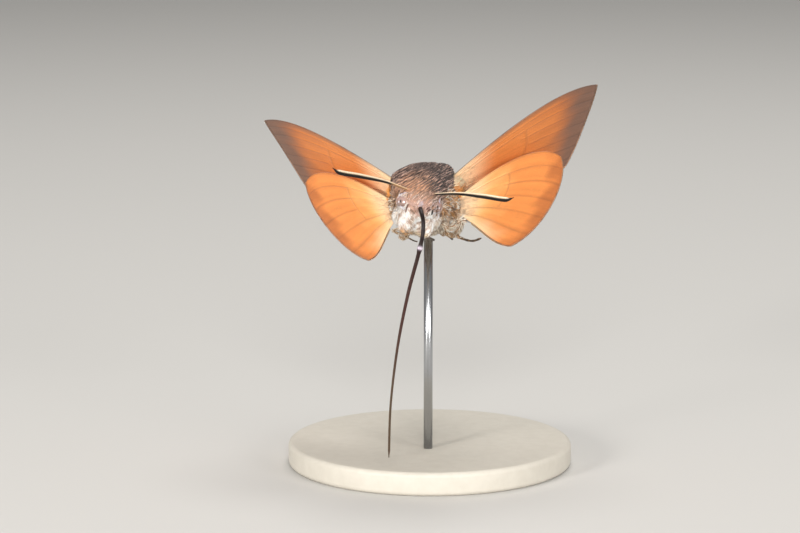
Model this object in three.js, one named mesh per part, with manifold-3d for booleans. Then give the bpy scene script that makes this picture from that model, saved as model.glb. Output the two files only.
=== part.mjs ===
// A hummingbird hawk moth (Macroglossum stellatarum), life size, hovering with its tongue let down, on a display stand.
// Millimetres, +Z up. The moth faces -Y, its own left is +X, and the origin is the centre of the base's underside.

import * as THREE from "three";
import { mergeVertices } from "three/addons/utils/BufferGeometryUtils.js";
import Module from "manifold-3d";

const wasm = await Module();
wasm.setup();

// Driving dimensions

const GAP = 0.3; // left between pieces that touch
const BLADE = 0.5; // thickness of a wing membrane, and the least of a leg or feeler
const VEIN_RISE = 0.13; // how far a vein stands out of each face of a wing

const THORAX_AT = [-0.5, -4.0, 28.0]; // centre of the thorax above the base's centre
const THORAX = { halfWidth: 3.7, halfLength: 4.7, halfHeight: 3.8 };
const PITCH = 10; // degrees, head up
const ROLL = 4; // degrees, the moth's left side up
const YAW = 8; // degrees, body turned to the moth's right

const HEAD = { halfWidth: 2.3, halfLength: 2.2, halfHeight: 2.3 };
const HEAD_AT = [0.1, -5.5, -0.4]; // centre of the head, from the centre of the thorax
const HEAD_ROLL = 12; // degrees, the moth's left side down, from the thorax
const HEAD_TURN = 8; // degrees, to the moth's left, from the thorax
const EYE = { half: [0.85, 1.05, 1.12], at: [1.5, -0.75, 0.0], turn: -38 };
const PALP = { half: [0.82, 1.0, 1.68], at: [0.95, -1.6, -1.85], lean: -9 };
const ANTENNA = { base: [1.22, -1.6, 0.95], tip: [8.75, -8.3, 1.6], bow: 0.22, radius: 0.26, club: 0.33 };
const TONGUE = {
  rootRadius: 0.31,
  tipRadius: 0.25,
  knee: 3.4, // along the tongue, from inside the face
  kneeRise: 0.07,
  path: [
    [0.1, -1.4, -0.5],
    [0.26, -2.5, -0.85],
    [0.62, -3.3, -1.75],
    [0.8, -3.5, -3.0],
    [0.72, -3.32, -4.9],
    [0.36, -2.88, -8.7],
    [0.17, -2.4, -14.0],
    [0.42, -1.85, -20.0],
    [1.08, -1.3, -25.2],
  ],
  cuts: [0, 5.2, 14.8], // where its three lengths start
};

const ABDOMEN = { start: 2.9, length: 13.6, halfWidth: 3.35, halfHeight: 2.7, droop: 0.4, segments: 7 };
const FAN_LENGTH = 4.8;
const TUFTED_SEGMENTS = [2.5, 3.45, 4.4];

const WING_LIFT = { left: 31, right: 25 }; // degrees above the horizontal plane of the body
const WING_SWEEP = 31; // degrees back from straight out
const WING_TURN = 62; // degrees that the leading edge is turned up
const FORE_ROOT = [3.15, -0.9, 2.1];
const HIND_OFFSET = { back: 1.7, under: 1.15 }; // of the hindwing's root, in the forewing's own plane
const HIND_SPREAD = 11; // degrees that the hindwing trails behind the forewing

const BASE = { radius: 14.5, height: 2.4, edge: 0.5 };
const ROD = { radius: 0.45, at: [0, 0.9], socketDepth: 1.5 };

// Wing outlines, as Bezier control points: out along the wing, then back across it.

const FOREWING = {
  costa: [[-1.6, 0.1], [6, -1.0], [14.5, -1.4], [19.3, 1.7]],
  outer: [[19.3, 1.7], [18.9, 4.0], [16.0, 7.1], [12.9, 8.1]],
  inner: [[-1.4, 2.3], [4.0, 3.3], [9.2, 7.5], [12.9, 8.1]],
  camber: 0.7,
  tipBend: 0.9,
  veins: [
    { at: 0.11, from: 0 },
    { at: 0.23, from: 0 },
    { at: 0.36, from: 0.5 },
    { at: 0.49, from: 0.56 },
    { at: 0.62, from: 0.5 },
    { at: 0.74, from: 0 },
    { at: 0.88, from: 0.08 },
  ],
  cell: { end: 0.5, first: 0.23, last: 0.74 },
};
const HINDWING = {
  costa: [[-1.6, 0.2], [3.6, -1.5], [9.8, -1.9], [12.2, 1.2]],
  outer: [[12.2, 1.2], [13.4, 4.6], [9.6, 9.0], [4.7, 8.5]],
  inner: [[-1.4, 2.0], [0.9, 3.6], [2.0, 7.0], [4.7, 8.5]],
  camber: 0.35,
  tipBend: 0.3,
  veins: [
    { at: 0.16, from: 0 },
    { at: 0.32, from: 0.45 },
    { at: 0.48, from: 0.5 },
    { at: 0.64, from: 0 },
    { at: 0.82, from: 0.1 },
  ],
  cell: { end: 0.45, first: 0.16, last: 0.64 },
};
const VEIN_HALF_WIDTH = 0.018; // as a share of the wing's width
const WING_STEPS = 10; // from root to margin

const radians = THREE.MathUtils.degToRad;
const vector = (p) => new THREE.Vector3(...p);

// Turning three.js geometry into solids and back

function solidOf(geometry) {
  const bare = geometry.clone();
  bare.deleteAttribute("normal");
  bare.deleteAttribute("uv");
  const merged = mergeVertices(bare, 1e-5);
  const triVerts = new Uint32Array(merged.index.array);
  const make = () =>
    new wasm.Manifold(new wasm.Mesh({ numProp: 3, vertProperties: merged.attributes.position.array, triVerts }));
  const made = make();
  if (made.volume() > 0) return made;
  triVerts.reverse();
  return make();
}

function geometryOf(solid) {
  const mesh = solid.getMesh();
  return new THREE.BufferGeometry()
    .setAttribute("position", new THREE.BufferAttribute(new Float32Array(mesh.vertProperties), 3))
    .setIndex(new THREE.BufferAttribute(new Uint32Array(mesh.triVerts), 1));
}

const joined = (solids) => solids.reduce((sum, s) => sum.add(s));

function largest(solid) {
  const pieces = solid.decompose();
  return pieces.reduce((best, s) => (s.volume() > best.volume() ? s : best));
}

// Frames: groups that carry the pieces. A solid made in one frame can be moved into another.

const root = new THREE.Group();
const moth = new THREE.Group();
moth.position.set(...THORAX_AT);
moth.rotation.set(radians(-PITCH), radians(-ROLL), radians(-YAW), "ZXY");
root.add(moth);

const head = new THREE.Group();
head.position.set(...HEAD_AT);
head.rotation.set(0, radians(HEAD_ROLL), radians(HEAD_TURN));
moth.add(head);

// The frame of a mirrored piece is its parent's, with X turned round for the right side.
function mirrored(parent) {
  const group = new THREE.Group();
  group.scale.x = -1;
  parent.add(group);
  return group;
}
const mothRight = mirrored(moth);
const headRight = mirrored(head);

// A wing's own frame: X out along the wing, Y back across it, Z to its upper side.
function wingFrame(liftDegrees) {
  const lift = radians(liftDegrees);
  const sweep = radians(WING_SWEEP);
  const turn = radians(WING_TURN);
  const out = vector([Math.cos(lift) * Math.cos(sweep), Math.cos(lift) * Math.sin(sweep), Math.sin(lift)]);
  const level = vector([-Math.sin(sweep), Math.cos(sweep), 0]);
  const down = vector([Math.sin(lift) * Math.cos(sweep), Math.sin(lift) * Math.sin(sweep), -Math.cos(lift)]);
  const back = level.multiplyScalar(Math.cos(turn)).addScaledVector(down, Math.sin(turn));
  const up = out.clone().cross(back);
  return new THREE.Matrix4().makeBasis(out, back, up).setPosition(...FORE_ROOT);
}

function hindFrame(liftDegrees) {
  const offset = new THREE.Matrix4().makeTranslation(0, HIND_OFFSET.back, -HIND_OFFSET.under);
  const spread = new THREE.Matrix4().makeRotationZ(radians(HIND_SPREAD));
  return wingFrame(liftDegrees).multiply(offset).multiply(spread);
}

root.updateMatrixWorld(true);

function movedTo(frame, solid, from) {
  const matrix = frame.matrixWorld.clone().invert().multiply(from.matrixWorld);
  return solid.transform(matrix.elements);
}

// Basic forms

// A rounded box or egg: boxy squares its section across Y, and full fills out its ends.
function ovoid(half, at, { turn = [0, 0, 0], sides = 18, rows = 11, boxy = 2, full = 2, grow = 0 } = {}) {
  const shape = new THREE.SphereGeometry(1, sides, rows);
  const place = shape.attributes.position;
  for (let i = 0; i < place.count; i++) {
    const [x, y, z] = [place.getX(i), place.getY(i), place.getZ(i)];
    const radius = Math.hypot(x, z);
    const end = Math.sign(y) * Math.abs(y) ** (2 / full);
    if (radius < 1e-6) {
      place.setXYZ(i, 0, end, 0);
      continue;
    }
    const square = (Math.abs(x / radius) ** boxy + Math.abs(z / radius) ** boxy) ** (-1 / boxy);
    const reach = (radius ** (2 / full) * square) / radius;
    place.setXYZ(i, x * reach, end, z * reach);
  }
  shape.scale(half[0] + grow, half[1] + grow, half[2] + grow);
  shape.rotateX(radians(turn[0]));
  shape.rotateY(radians(turn[1]));
  shape.rotateZ(radians(turn[2]));
  shape.translate(...at);
  return solidOf(shape);
}

// A closed skin over a row of rings that all have the same number of points.
function loft(rings) {
  const sides = rings[0].length;
  const points = rings.flat();
  const faces = [];
  for (let j = 0; j + 1 < rings.length; j++) {
    for (let i = 0; i < sides; i++) {
      const next = (i + 1) % sides;
      const [a, b, c, d] = [j * sides + i, j * sides + next, (j + 1) * sides + next, (j + 1) * sides + i];
      faces.push(a, b, c, a, c, d);
    }
  }
  for (const [ring, start, turn] of [[rings[0], 0, 1], [rings.at(-1), (rings.length - 1) * sides, 0]]) {
    const middle = ring.reduce((sum, p) => sum.add(p), new THREE.Vector3()).divideScalar(sides);
    const centre = points.push(middle) - 1;
    for (let i = 0; i < sides; i++) {
      const next = (i + 1) % sides;
      faces.push(centre, start + (turn ? next : i), start + (turn ? i : next));
    }
  }
  const shape = new THREE.BufferGeometry().setFromPoints(points).setIndex(faces);
  return solidOf(shape);
}

// A round limb along a smooth curve, its radius a function of the share of the way along.
function limb(points, radiusAt, { sides = 8, steps = 12 } = {}) {
  const curve = new THREE.CatmullRomCurve3(points.map(vector), false, "centripetal");
  const { normals, binormals } = curve.computeFrenetFrames(steps);
  const rings = [];
  for (let j = 0; j <= steps; j++) {
    const centre = curve.getPointAt(j / steps);
    const radius = radiusAt(j / steps);
    const ring = [];
    for (let i = 0; i < sides; i++) {
      const angle = (2 * Math.PI * i) / sides;
      const spoke = normals[j].clone().multiplyScalar(Math.cos(angle) * radius);
      ring.push(spoke.addScaledVector(binormals[j], Math.sin(angle) * radius).add(centre));
    }
    rings.push(ring);
  }
  return loft(rings);
}

// A flat lock of long scales that tapers to its tip and bends towards its own upper side.
function lock({ from, along, up, length, width, thick = BLADE, bend = 0 }) {
  const ahead = along.clone().normalize();
  const across = ahead.clone().cross(up).normalize();
  const over = across.clone().cross(ahead);
  const stations = [[0, 0.62, 1], [0.4, 1, 1], [0.82, 0.72, 0.8], [1, 0.16, 0.3]];
  const rings = stations.map(([t, w, h]) => {
    const centre = from.clone().addScaledVector(ahead, length * t).addScaledVector(over, bend * t * t);
    const [side, top] = [(width * w) / 2, (thick * h) / 2];
    return [[side, 0], [side * 0.45, top], [-side * 0.45, top], [-side, 0], [-side * 0.45, -top], [side * 0.45, -top]]
      .map(([x, z]) => centre.clone().addScaledVector(across, x).addScaledVector(over, z));
  });
  return loft(rings);
}

// A seeded draw between -1 and 1, so that every run is alike.
function drawFrom(seed) {
  let state = seed;
  return () => {
    state = (Math.imul(state, 1664525) + 1013904223) >>> 0;
    return state / 2 ** 31 - 1;
  };
}

// Thorax: a boxy egg with the collar behind the head, the shoulder scales over the wing roots, the waist,
// and the mantle's full corners, the right one lower and further out.
function thoraxSolid(grow = 0) {
  const { halfWidth, halfLength, halfHeight } = THORAX;
  const fine = { sides: 26, rows: 16, grow };
  return joined([
    ovoid([halfWidth, halfLength, halfHeight], [0, 0, 0], { ...fine, boxy: 2.5, full: 2.25 }),
    ovoid([3.15, 2.3, 3.05], [0, -3.2, 0.1], { grow, boxy: 2.2 }),
    ovoid([2.8, 2.6, 2.35], [0, 2.9, -0.2], { grow, boxy: 2.2 }),
    ...[1, -1].map((side) => ovoid([1.2, 2.8, 1.45], [side * 2.7, 0.4, 1.75], { grow, turn: [-6, 0, side * -5] })),
    ovoid([1.35, 2.4, 1.3], [1.4, 0.2, 2.35], { grow, boxy: 2.3 }),
    ovoid([1.45, 2.6, 1.4], [-2.05, 0.2, 1.65], { grow, boxy: 2.5 }),
  ]);
}

// Abdomen: rings that narrow to the tail, each segment's hind edge standing a little proud of the next.
function abdomenPoint(share, angle, grow = 0) {
  const { start, length, halfWidth, halfHeight, droop, segments } = ABDOMEN;
  const swell = 0.84 + 0.16 * Math.sin(Math.PI * Math.min(1, share * 1.25));
  const narrow = Math.sqrt(Math.max(0, 1 - Math.max(0, (share - 0.45) / 0.62) ** 2.4));
  const inSegment = (share * segments) % 1;
  const size = swell * narrow * (1 + 0.045 * inSegment ** 2);
  return new THREE.Vector3(
    (halfWidth * size + grow) * Math.cos(angle),
    start + length * share + grow * (2 * share - 1),
    (halfHeight * size + grow) * Math.sin(angle) - droop * share ** 1.6,
  );
}

function abdomenSolid(grow = 0) {
  const sides = 20;
  const rings = [];
  for (let segment = 0; segment < ABDOMEN.segments; segment++) {
    for (const part of [0.03, 0.93]) {
      const share = (segment + part) / ABDOMEN.segments;
      rings.push(Array.from({ length: sides }, (_, i) => abdomenPoint(share, (2 * Math.PI * i) / sides, grow)));
    }
  }
  return loft(rings);
}

// The side tufts: three locks on each of three segments, on both sides, standing out and back.
function sideTufts() {
  const draw = drawFrom(11);
  const locks = [];
  for (const segment of TUFTED_SEGMENTS) {
    for (const side of [1, -1]) {
      for (const height of [-0.36, -0.02, 0.32]) {
        const share = (segment + 0.62) / ABDOMEN.segments;
        const angle = side > 0 ? height : Math.PI - height;
        const surface = abdomenPoint(share, angle);
        const from = surface.clone().add(vector([-side * 0.55, -0.45, 0]));
        locks.push(lock({
          from,
          along: vector([side * (0.62 + 0.1 * draw()), 1.1 + 0.1 * draw(), height * 0.5]),
          up: vector([side, -0.6, height]),
          length: 2.3 + 0.2 * draw(),
          width: 1.3 + 0.08 * draw(),
          bend: 0.25,
        }));
      }
    }
  }
  return joined(locks);
}

// The tail fan: a short core and two tiers of locks, in a middle brush and two side brushes.
function fanSolid() {
  const end = abdomenPoint(0.95, 0);
  const core = new THREE.Vector3(0, end.y, end.z);
  const draw = drawFrom(29);
  const tiers = [
    { count: 9, spread: 42, rise: 0.28, tilt: 3, length: FAN_LENGTH },
    { count: 8, spread: 34, rise: -0.3, tilt: -7, length: FAN_LENGTH * 0.86 },
  ];
  const locks = tiers.flatMap(({ count, spread, rise, tilt, length }) =>
    Array.from({ length: count }, (_, i) => {
      const place = (2 * i) / (count - 1) - 1;
      const angle = radians(spread * place + 1.5 * draw());
      const along = new THREE.Vector3(Math.sin(angle), Math.cos(angle), Math.tan(radians(tilt - 6)));
      return lock({
        from: core.clone().add(new THREE.Vector3(place * 0.85, 0.1, rise)),
        along,
        up: vector([0, 0, 1]),
        length: length * (1 - 0.13 * place * place) * (1 + 0.05 * draw()),
        width: 1.35 + 0.1 * draw(),
        thick: 0.6,
        bend: 0.3,
      });
    }),
  );
  const brush = ovoid([1.55, 1.9, 0.95], [0, core.y + 0.5, core.z - 0.05], { sides: 16, rows: 10 });
  return joined([brush, ...locks]);
}

// Head: a round dome over the face's snout, with a nape that meets the collar. The eyes' sockets are cut out of it.
function headSolid(grow = 0) {
  return joined([
    ovoid([HEAD.halfWidth, HEAD.halfLength, HEAD.halfHeight], [0, 0, 0], { grow, boxy: 2.15, sides: 22, rows: 14 }),
    ovoid([1.2, 1.0, 1.1], [0, -1.5, -0.15], { grow, sides: 16, rows: 10 }),
    ovoid([2.2, 1.7, 2.25], [0, 1.0, 0.05], { grow, boxy: 2.1 }),
  ]);
}

function eyeSolid(side, grow = 0) {
  const at = [side * EYE.at[0], EYE.at[1], EYE.at[2]];
  return ovoid(EYE.half, at, { grow, turn: [0, 0, side * EYE.turn], sides: 20, rows: 12 });
}

function palpSolid(grow = 0) {
  return ovoid(PALP.half, PALP.at, { turn: [-6, PALP.lean, 0], sides: 16, rows: 12, boxy: 2.3, grow });
}

// Antenna: a slender stalk that thickens to a club and ends in a fine hook.
function antennaSolid() {
  const [base, tip] = [vector(ANTENNA.base), vector(ANTENNA.tip)];
  const way = (share, rise) => base.clone().lerp(tip, share).add(new THREE.Vector3(0, 0, rise));
  const points = [way(-0.09, -0.1), way(0.3, ANTENNA.bow), way(0.65, ANTENNA.bow * 0.6), way(0.93, 0), way(1, 0.22)];
  const radiusAt = (share) => {
    const club = THREE.MathUtils.smoothstep(share, 0.25, 0.75);
    const hook = 1 - THREE.MathUtils.smoothstep(share, 0.9, 1) * 0.68;
    return (ANTENNA.radius + (ANTENNA.club - ANTENNA.radius) * club) * hook;
  };
  return limb(points.map((p) => p.toArray()), radiusAt, { steps: 18 });
}

// Tongue: out between the palps, round a knee and down, in three lengths end to end.
function tongueSolid(part, grow = 0) {
  const { path, cuts, rootRadius, tipRadius, knee, kneeRise } = TONGUE;
  const curve = new THREE.CatmullRomCurve3(path.map(vector), false, "centripetal");
  const whole = curve.getLength();
  const start = cuts[part] + (part > 0 ? GAP / 2 : 0);
  const end = part + 1 < cuts.length ? cuts[part + 1] - GAP / 2 : whole;
  const steps = part === 0 ? 12 : 8;
  const points = Array.from({ length: steps + 1 }, (_, i) => curve.getPointAt((start + ((end - start) * i) / steps) / whole));
  const radiusAt = (share) => {
    const along = start + (end - start) * share;
    const bulge = kneeRise * Math.exp(-((along - knee) ** 2));
    return THREE.MathUtils.lerp(rootRadius, tipRadius, along / whole) + bulge + grow;
  };
  return limb(points.map((p) => p.toArray()), radiusAt, { steps });
}

// Legs: thigh, shin and foot along one bent path, with a swelling at the thigh and a taper to the claw.
const LEGS = {
  foreleg_left: [
    [1.5, -2.4, -2.3],
    [2.7, -3.2, -3.0],
    [3.85, -3.5, -2.35],
    [3.75, -3.4, -2.95],
    [3.3, -3.1, -3.7],
    [3.92, -2.9, -4.2],
    [4.88, -2.7, -4.45],
    [5.75, -2.55, -4.2],
  ],
  foreleg_right: [
    [-1.5, -2.2, -2.3],
    [-2.35, -2.9, -2.9],
    [-2.95, -3.3, -3.05],
    [-2.3, -3.4, -3.45],
    [-1.5, -3.2, -3.85],
    [-1.05, -2.5, -4.15],
    [-0.8, -1.5, -4.25],
  ],
  midleg: [
    [1.5, -0.8, -2.9],
    [2.15, 0.0, -3.65],
    [2.8, 1.3, -3.65],
    [2.95, 2.7, -3.3],
    [2.6, 4.6, -3.15],
    [2.3, 6.4, -3.2],
    [2.05, 8.4, -3.4],
  ],
  hindleg: [
    [0.9, 2.0, -2.8],
    [1.15, 3.5, -3.45],
    [1.25, 5.4, -3.3],
    [1.15, 8.6, -3.65],
    [1.05, 11.0, -3.8],
    [0.95, 13.2, -3.95],
  ],
};

function legSolid(points) {
  const radiusAt = (share) => {
    const thigh = 0.14 * Math.exp(-(((share - 0.18) / 0.14) ** 2));
    const tip = 1 - THREE.MathUtils.smoothstep(share, 0.9, 1) * 0.55;
    return (0.26 + thigh) * tip;
  };
  return limb(points, radiusAt, { sides: 7, steps: 18 });
}

// Wings: a patch between four edge curves, its veins raised out of both faces.
function edge(points) {
  return new THREE.CubicBezierCurve(...points.map(([x, y]) => new THREE.Vector2(x, y)));
}

function wingSolid(wing) {
  const [costa, outer, inner] = [edge(wing.costa), edge(wing.outer), edge(wing.inner)];
  const [frontRoot, hindRoot, apex, corner] = [costa.getPoint(0), inner.getPoint(0), costa.getPoint(1), inner.getPoint(1)];
  const flat = (u, v) => {
    const across = costa.getPoint(u).multiplyScalar(1 - v).add(inner.getPoint(u).multiplyScalar(v));
    const along = frontRoot.clone().lerp(hindRoot, v).multiplyScalar(1 - u).add(outer.getPoint(v).multiplyScalar(u));
    const corners = frontRoot.clone().lerp(hindRoot, v).multiplyScalar(1 - u);
    corners.add(apex.clone().lerp(corner, v).multiplyScalar(u));
    return across.add(along).sub(corners);
  };
  const middle = (u, v) => {
    const place = flat(u, v);
    const height = wing.camber * Math.sin(Math.PI * v) * (0.35 + 0.65 * u) + wing.tipBend * u * u;
    return new THREE.Vector3(place.x, place.y, height);
  };
  const rows = [0];
  for (const { at } of wing.veins) rows.push(at - VEIN_HALF_WIDTH, at, at + VEIN_HALF_WIDTH);
  rows.push(1);
  const columns = Array.from({ length: WING_STEPS + 1 }, (_, i) => i / WING_STEPS);
  const raised = (u, v) => {
    const vein = wing.veins.find(({ at }) => Math.abs(at - v) < 1e-9);
    const onVein = vein && u >= vein.from;
    const { end, first, last } = wing.cell;
    const onCrossVein = Math.abs(u - end) < 0.5 / WING_STEPS && v > first && v < last;
    const onCosta = v === 0 && u < 0.95;
    return onVein || onCrossVein || onCosta ? VEIN_RISE : 0;
  };
  const points = [];
  for (const v of rows) {
    for (const u of columns) {
      const small = 1e-3;
      const du = middle(Math.min(1, u + small), v).sub(middle(Math.max(0, u - small), v));
      const dv = middle(u, Math.min(1, v + small)).sub(middle(u, Math.max(0, v - small)));
      const normal = du.cross(dv).normalize();
      const half = BLADE / 2 + raised(u, v);
      points.push(middle(u, v).addScaledVector(normal, half), middle(u, v).addScaledVector(normal, -half));
    }
  }
  const top = (j, i) => (j * columns.length + i) * 2;
  const faces = [];
  const quad = (a, b, c, d) => faces.push(a, b, c, a, c, d);
  const [lastRow, lastColumn] = [rows.length - 1, columns.length - 1];
  for (let j = 0; j < lastRow; j++) {
    for (let i = 0; i < lastColumn; i++) {
      const [a, b, c, d] = [top(j, i), top(j, i + 1), top(j + 1, i + 1), top(j + 1, i)];
      quad(a, b, c, d);
      faces.push(a + 1, c + 1, b + 1, a + 1, d + 1, c + 1);
    }
  }
  const wall = (a, b) => quad(a + 1, b + 1, b, a);
  for (let i = 0; i < lastColumn; i++) {
    wall(top(0, i), top(0, i + 1));
    wall(top(lastRow, i + 1), top(lastRow, i));
  }
  for (let j = 0; j < lastRow; j++) {
    wall(top(j + 1, 0), top(j, 0));
    wall(top(j, lastColumn), top(j + 1, lastColumn));
  }
  return solidOf(new THREE.BufferGeometry().setFromPoints(points).setIndex(faces));
}

// Materials

const paint = (color, roughness, metalness = 0) => new THREE.MeshStandardMaterial({ color, roughness, metalness });
const materials = {
  fur: paint(0x6f6256, 0.95),
  face: paint(0xb49c8d, 0.9),
  palp: paint(0xe9e0d2, 0.9),
  tail: paint(0x2c2320, 0.9),
  eye: paint(0x6b5a4a, 0.25),
  antenna: paint(0x2a221c, 0.6),
  tongue: paint(0x2a1512, 0.3),
  forewing: paint(0xb0714a, 0.8),
  hindwing: paint(0xe88a3c, 0.8),
  leg: paint(0xb79f84, 0.8),
  base: paint(0xe9e6df, 0.45),
  rod: paint(0xb8bcc0, 0.25, 1),
};

function put(parent, name, solid, material) {
  const mesh = new THREE.Mesh(geometryOf(largest(solid)), material);
  mesh.name = name;
  parent.add(mesh);
}

// Putting the moth together

const thorax = thoraxSolid();
const thoraxGrown = thoraxSolid(GAP);
put(moth, "thorax", thorax, materials.fur);

const abdomen = joined([abdomenSolid(), sideTufts()]).subtract(thoraxGrown);
put(moth, "abdomen", abdomen, materials.fur);
const fan = fanSolid().subtract(abdomenSolid(GAP));
put(moth, "tail_fan", fan, materials.tail);

const inHead = (solid) => movedTo(head, solid, moth);
const sockets = joined([eyeSolid(1, GAP), eyeSolid(-1, GAP)]);
const headGrown = headSolid(GAP);
put(head, "head", headSolid().subtract(sockets).subtract(inHead(thoraxGrown)), materials.face);

const antenna = antennaSolid().subtract(headGrown);
const palp = palpSolid().subtract(headGrown);
const eye = eyeSolid(1);
const tongueGrown = tongueSolid(0, GAP);
for (const [side, frame] of [["left", head], ["right", headRight]]) {
  const clearOfThorax = (solid) => solid.subtract(movedTo(frame, thoraxGrown, moth));
  put(frame, `eye_${side}`, clearOfThorax(eye), materials.eye);
  put(frame, `palp_${side}`, clearOfThorax(palp).subtract(movedTo(frame, tongueGrown, head)), materials.palp);
  put(frame, `antenna_${side}`, antenna, materials.antenna);
}
["base", "shaft", "tip"].forEach((part, i) => {
  put(head, `proboscis_${part}`, tongueSolid(i).subtract(headGrown), materials.tongue);
});

for (const side of ["left", "right"]) {
  put(moth, `foreleg_${side}`, legSolid(LEGS[`foreleg_${side}`]).subtract(thoraxGrown), materials.leg);
}
for (const [side, frame] of [["left", moth], ["right", mothRight]]) {
  for (const kind of ["midleg", "hindleg"]) {
    put(frame, `${kind}_${side}`, legSolid(LEGS[kind]).subtract(thoraxGrown), materials.leg);
  }
  const forewing = wingSolid(FOREWING).transform(wingFrame(WING_LIFT[side]).elements);
  const hindwing = wingSolid(HINDWING).transform(hindFrame(WING_LIFT[side]).elements);
  put(frame, `forewing_${side}`, forewing.subtract(thoraxGrown), materials.forewing);
  put(frame, `hindwing_${side}`, hindwing.subtract(thoraxGrown), materials.hindwing);
}

// Stand: a round base with a socket, and a rod up to the underside of the thorax.
const rodFoot = new THREE.Vector3(ROD.at[0], ROD.at[1], -THORAX.halfHeight).applyMatrix4(moth.matrixWorld);

function baseSolid() {
  const { radius, height, edge: bevel } = BASE;
  const profile = [[0, 0], [radius - bevel, 0], [radius, bevel], [radius, height - bevel], [radius - bevel, height], [0, height]];
  const disc = new THREE.LatheGeometry(profile.map(([x, y]) => new THREE.Vector2(x, y)), 56).rotateX(Math.PI / 2);
  const socket = new THREE.CylinderGeometry(ROD.radius + GAP, ROD.radius + GAP, 2 * ROD.socketDepth, 20);
  socket.rotateX(Math.PI / 2).translate(rodFoot.x, rodFoot.y, height);
  return solidOf(disc).subtract(solidOf(socket));
}

function rodSolid() {
  const foot = BASE.height - ROD.socketDepth + GAP;
  const top = THORAX_AT[2];
  const shape = new THREE.CylinderGeometry(ROD.radius, ROD.radius, top - foot, 20);
  shape.rotateX(Math.PI / 2).translate(rodFoot.x, rodFoot.y, (top + foot) / 2);
  return solidOf(shape).subtract(movedTo(root, thoraxGrown, moth));
}

put(root, "stand_base", baseSolid(), materials.base);
put(root, "stand_rod", rodSolid(), materials.rod);

export default root;
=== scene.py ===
"""Looks of the hummingbird hawk moth on its stand: a furred skin, scaled wings, eyes, feelers and tongue.

Sizes are in millimetres, in the frames that part.mjs uses, and become metres when a mesh is made.
"""

import math

import bpy
import numpy as np
from mathutils import Matrix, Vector
from mathutils.kdtree import KDTree


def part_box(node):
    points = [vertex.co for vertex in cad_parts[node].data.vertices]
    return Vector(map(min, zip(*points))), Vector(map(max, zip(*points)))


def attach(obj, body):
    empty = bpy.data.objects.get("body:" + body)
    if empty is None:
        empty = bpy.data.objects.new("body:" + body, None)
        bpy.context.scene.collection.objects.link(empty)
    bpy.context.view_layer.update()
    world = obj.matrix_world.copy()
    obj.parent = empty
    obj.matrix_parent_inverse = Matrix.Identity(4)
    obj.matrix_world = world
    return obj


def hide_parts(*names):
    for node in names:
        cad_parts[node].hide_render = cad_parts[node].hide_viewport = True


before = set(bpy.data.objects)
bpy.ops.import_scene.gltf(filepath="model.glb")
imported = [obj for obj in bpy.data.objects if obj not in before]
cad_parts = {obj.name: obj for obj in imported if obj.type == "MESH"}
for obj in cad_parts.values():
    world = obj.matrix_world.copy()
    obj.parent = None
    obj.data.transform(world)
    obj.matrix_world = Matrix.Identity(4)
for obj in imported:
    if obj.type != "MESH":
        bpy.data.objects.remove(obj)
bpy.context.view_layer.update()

# Driving dimensions, as in part.mjs
THORAX_AT = (-0.5, -4.0, 28.0)
PITCH, ROLL, YAW = 10, 4, 8  # degrees: head up, left side up, turned to the moth's right
HEAD_AT = (0.1, -5.5, -0.4)
HEAD_ROLL, HEAD_TURN = 12, 8  # degrees, from the thorax
PALP_AT = (0.87, -1.6, -1.85)
FORE_ROOT = (3.15, -0.9, 2.1)
WING_LIFT = {"left": 31, "right": 25}
WING_SWEEP, WING_TURN = 31, 62
HIND_BACK, HIND_UNDER, HIND_SPREAD = 1.7, 1.15, 11
EYE_HALF, EYE_AT, EYE_TURN = (0.72, 0.92, 0.68), (1.42, -0.76, -0.26), -38
FEELER_ROOT, FEELER_TIP = np.array((1.22, -1.6, 0.95)), np.array((8.75, -8.3, 1.6))
ABDOMEN_START, ABDOMEN_LENGTH, SEGMENTS = 2.9, 13.6, 7
ABDOMEN_HALF, ABDOMEN_DROOP = (3.35, 2.7), 0.4
BASE_RADIUS, BASE_HEIGHT = 14.5, 2.4
ROD_RADIUS, SOCKET_DEPTH = 0.45, 1.5

# The camera stands where the photographer did, in front of the moth and a little above it.
CAMERA_UP = 10  # degrees
CAMERA_AWAY = 300
CAMERA_AIM = (-3.05, -5.17, 21.35)  # what is in the middle of the picture

# Depth of the coat over the skin, and how finely the skin is made and smoothed
COAT = {"thorax": 0.25, "head": 0.18, "palp": 0.14, "abdomen": 0.16}
SKIN_VOXEL, SKIN_SMOOTHING = 0.13, 9

rng = np.random.default_rng(20)


# Frames

def turned(order, **degrees):
    """A rotation about the named axes, in the order given."""
    whole = Matrix.Identity(4)
    for axis in order:
        whole = whole @ Matrix.Rotation(math.radians(degrees.get(axis, 0)), 4, axis)
    return whole


MOTH = Matrix.Translation(THORAX_AT) @ turned("ZXY", X=-PITCH, Y=-ROLL, Z=-YAW)
HEAD = MOTH @ Matrix.Translation(HEAD_AT) @ turned("YZ", Y=HEAD_ROLL, Z=HEAD_TURN)
AS_IT_IS, FLIP = Matrix.Identity(4), Matrix.Scale(-1, 4, (1, 0, 0))
SIDES = (("left", AS_IT_IS), ("right", FLIP))


def moved(points, matrix):
    """Points, as rows, taken through a matrix."""
    m = np.array(matrix)
    return np.asarray(points, float) @ m[:3, :3].T + m[:3, 3]


def spun(vectors, matrix):
    """Directions, as rows, turned by a matrix."""
    return np.asarray(vectors, float) @ np.array(matrix)[:3, :3].T


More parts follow.
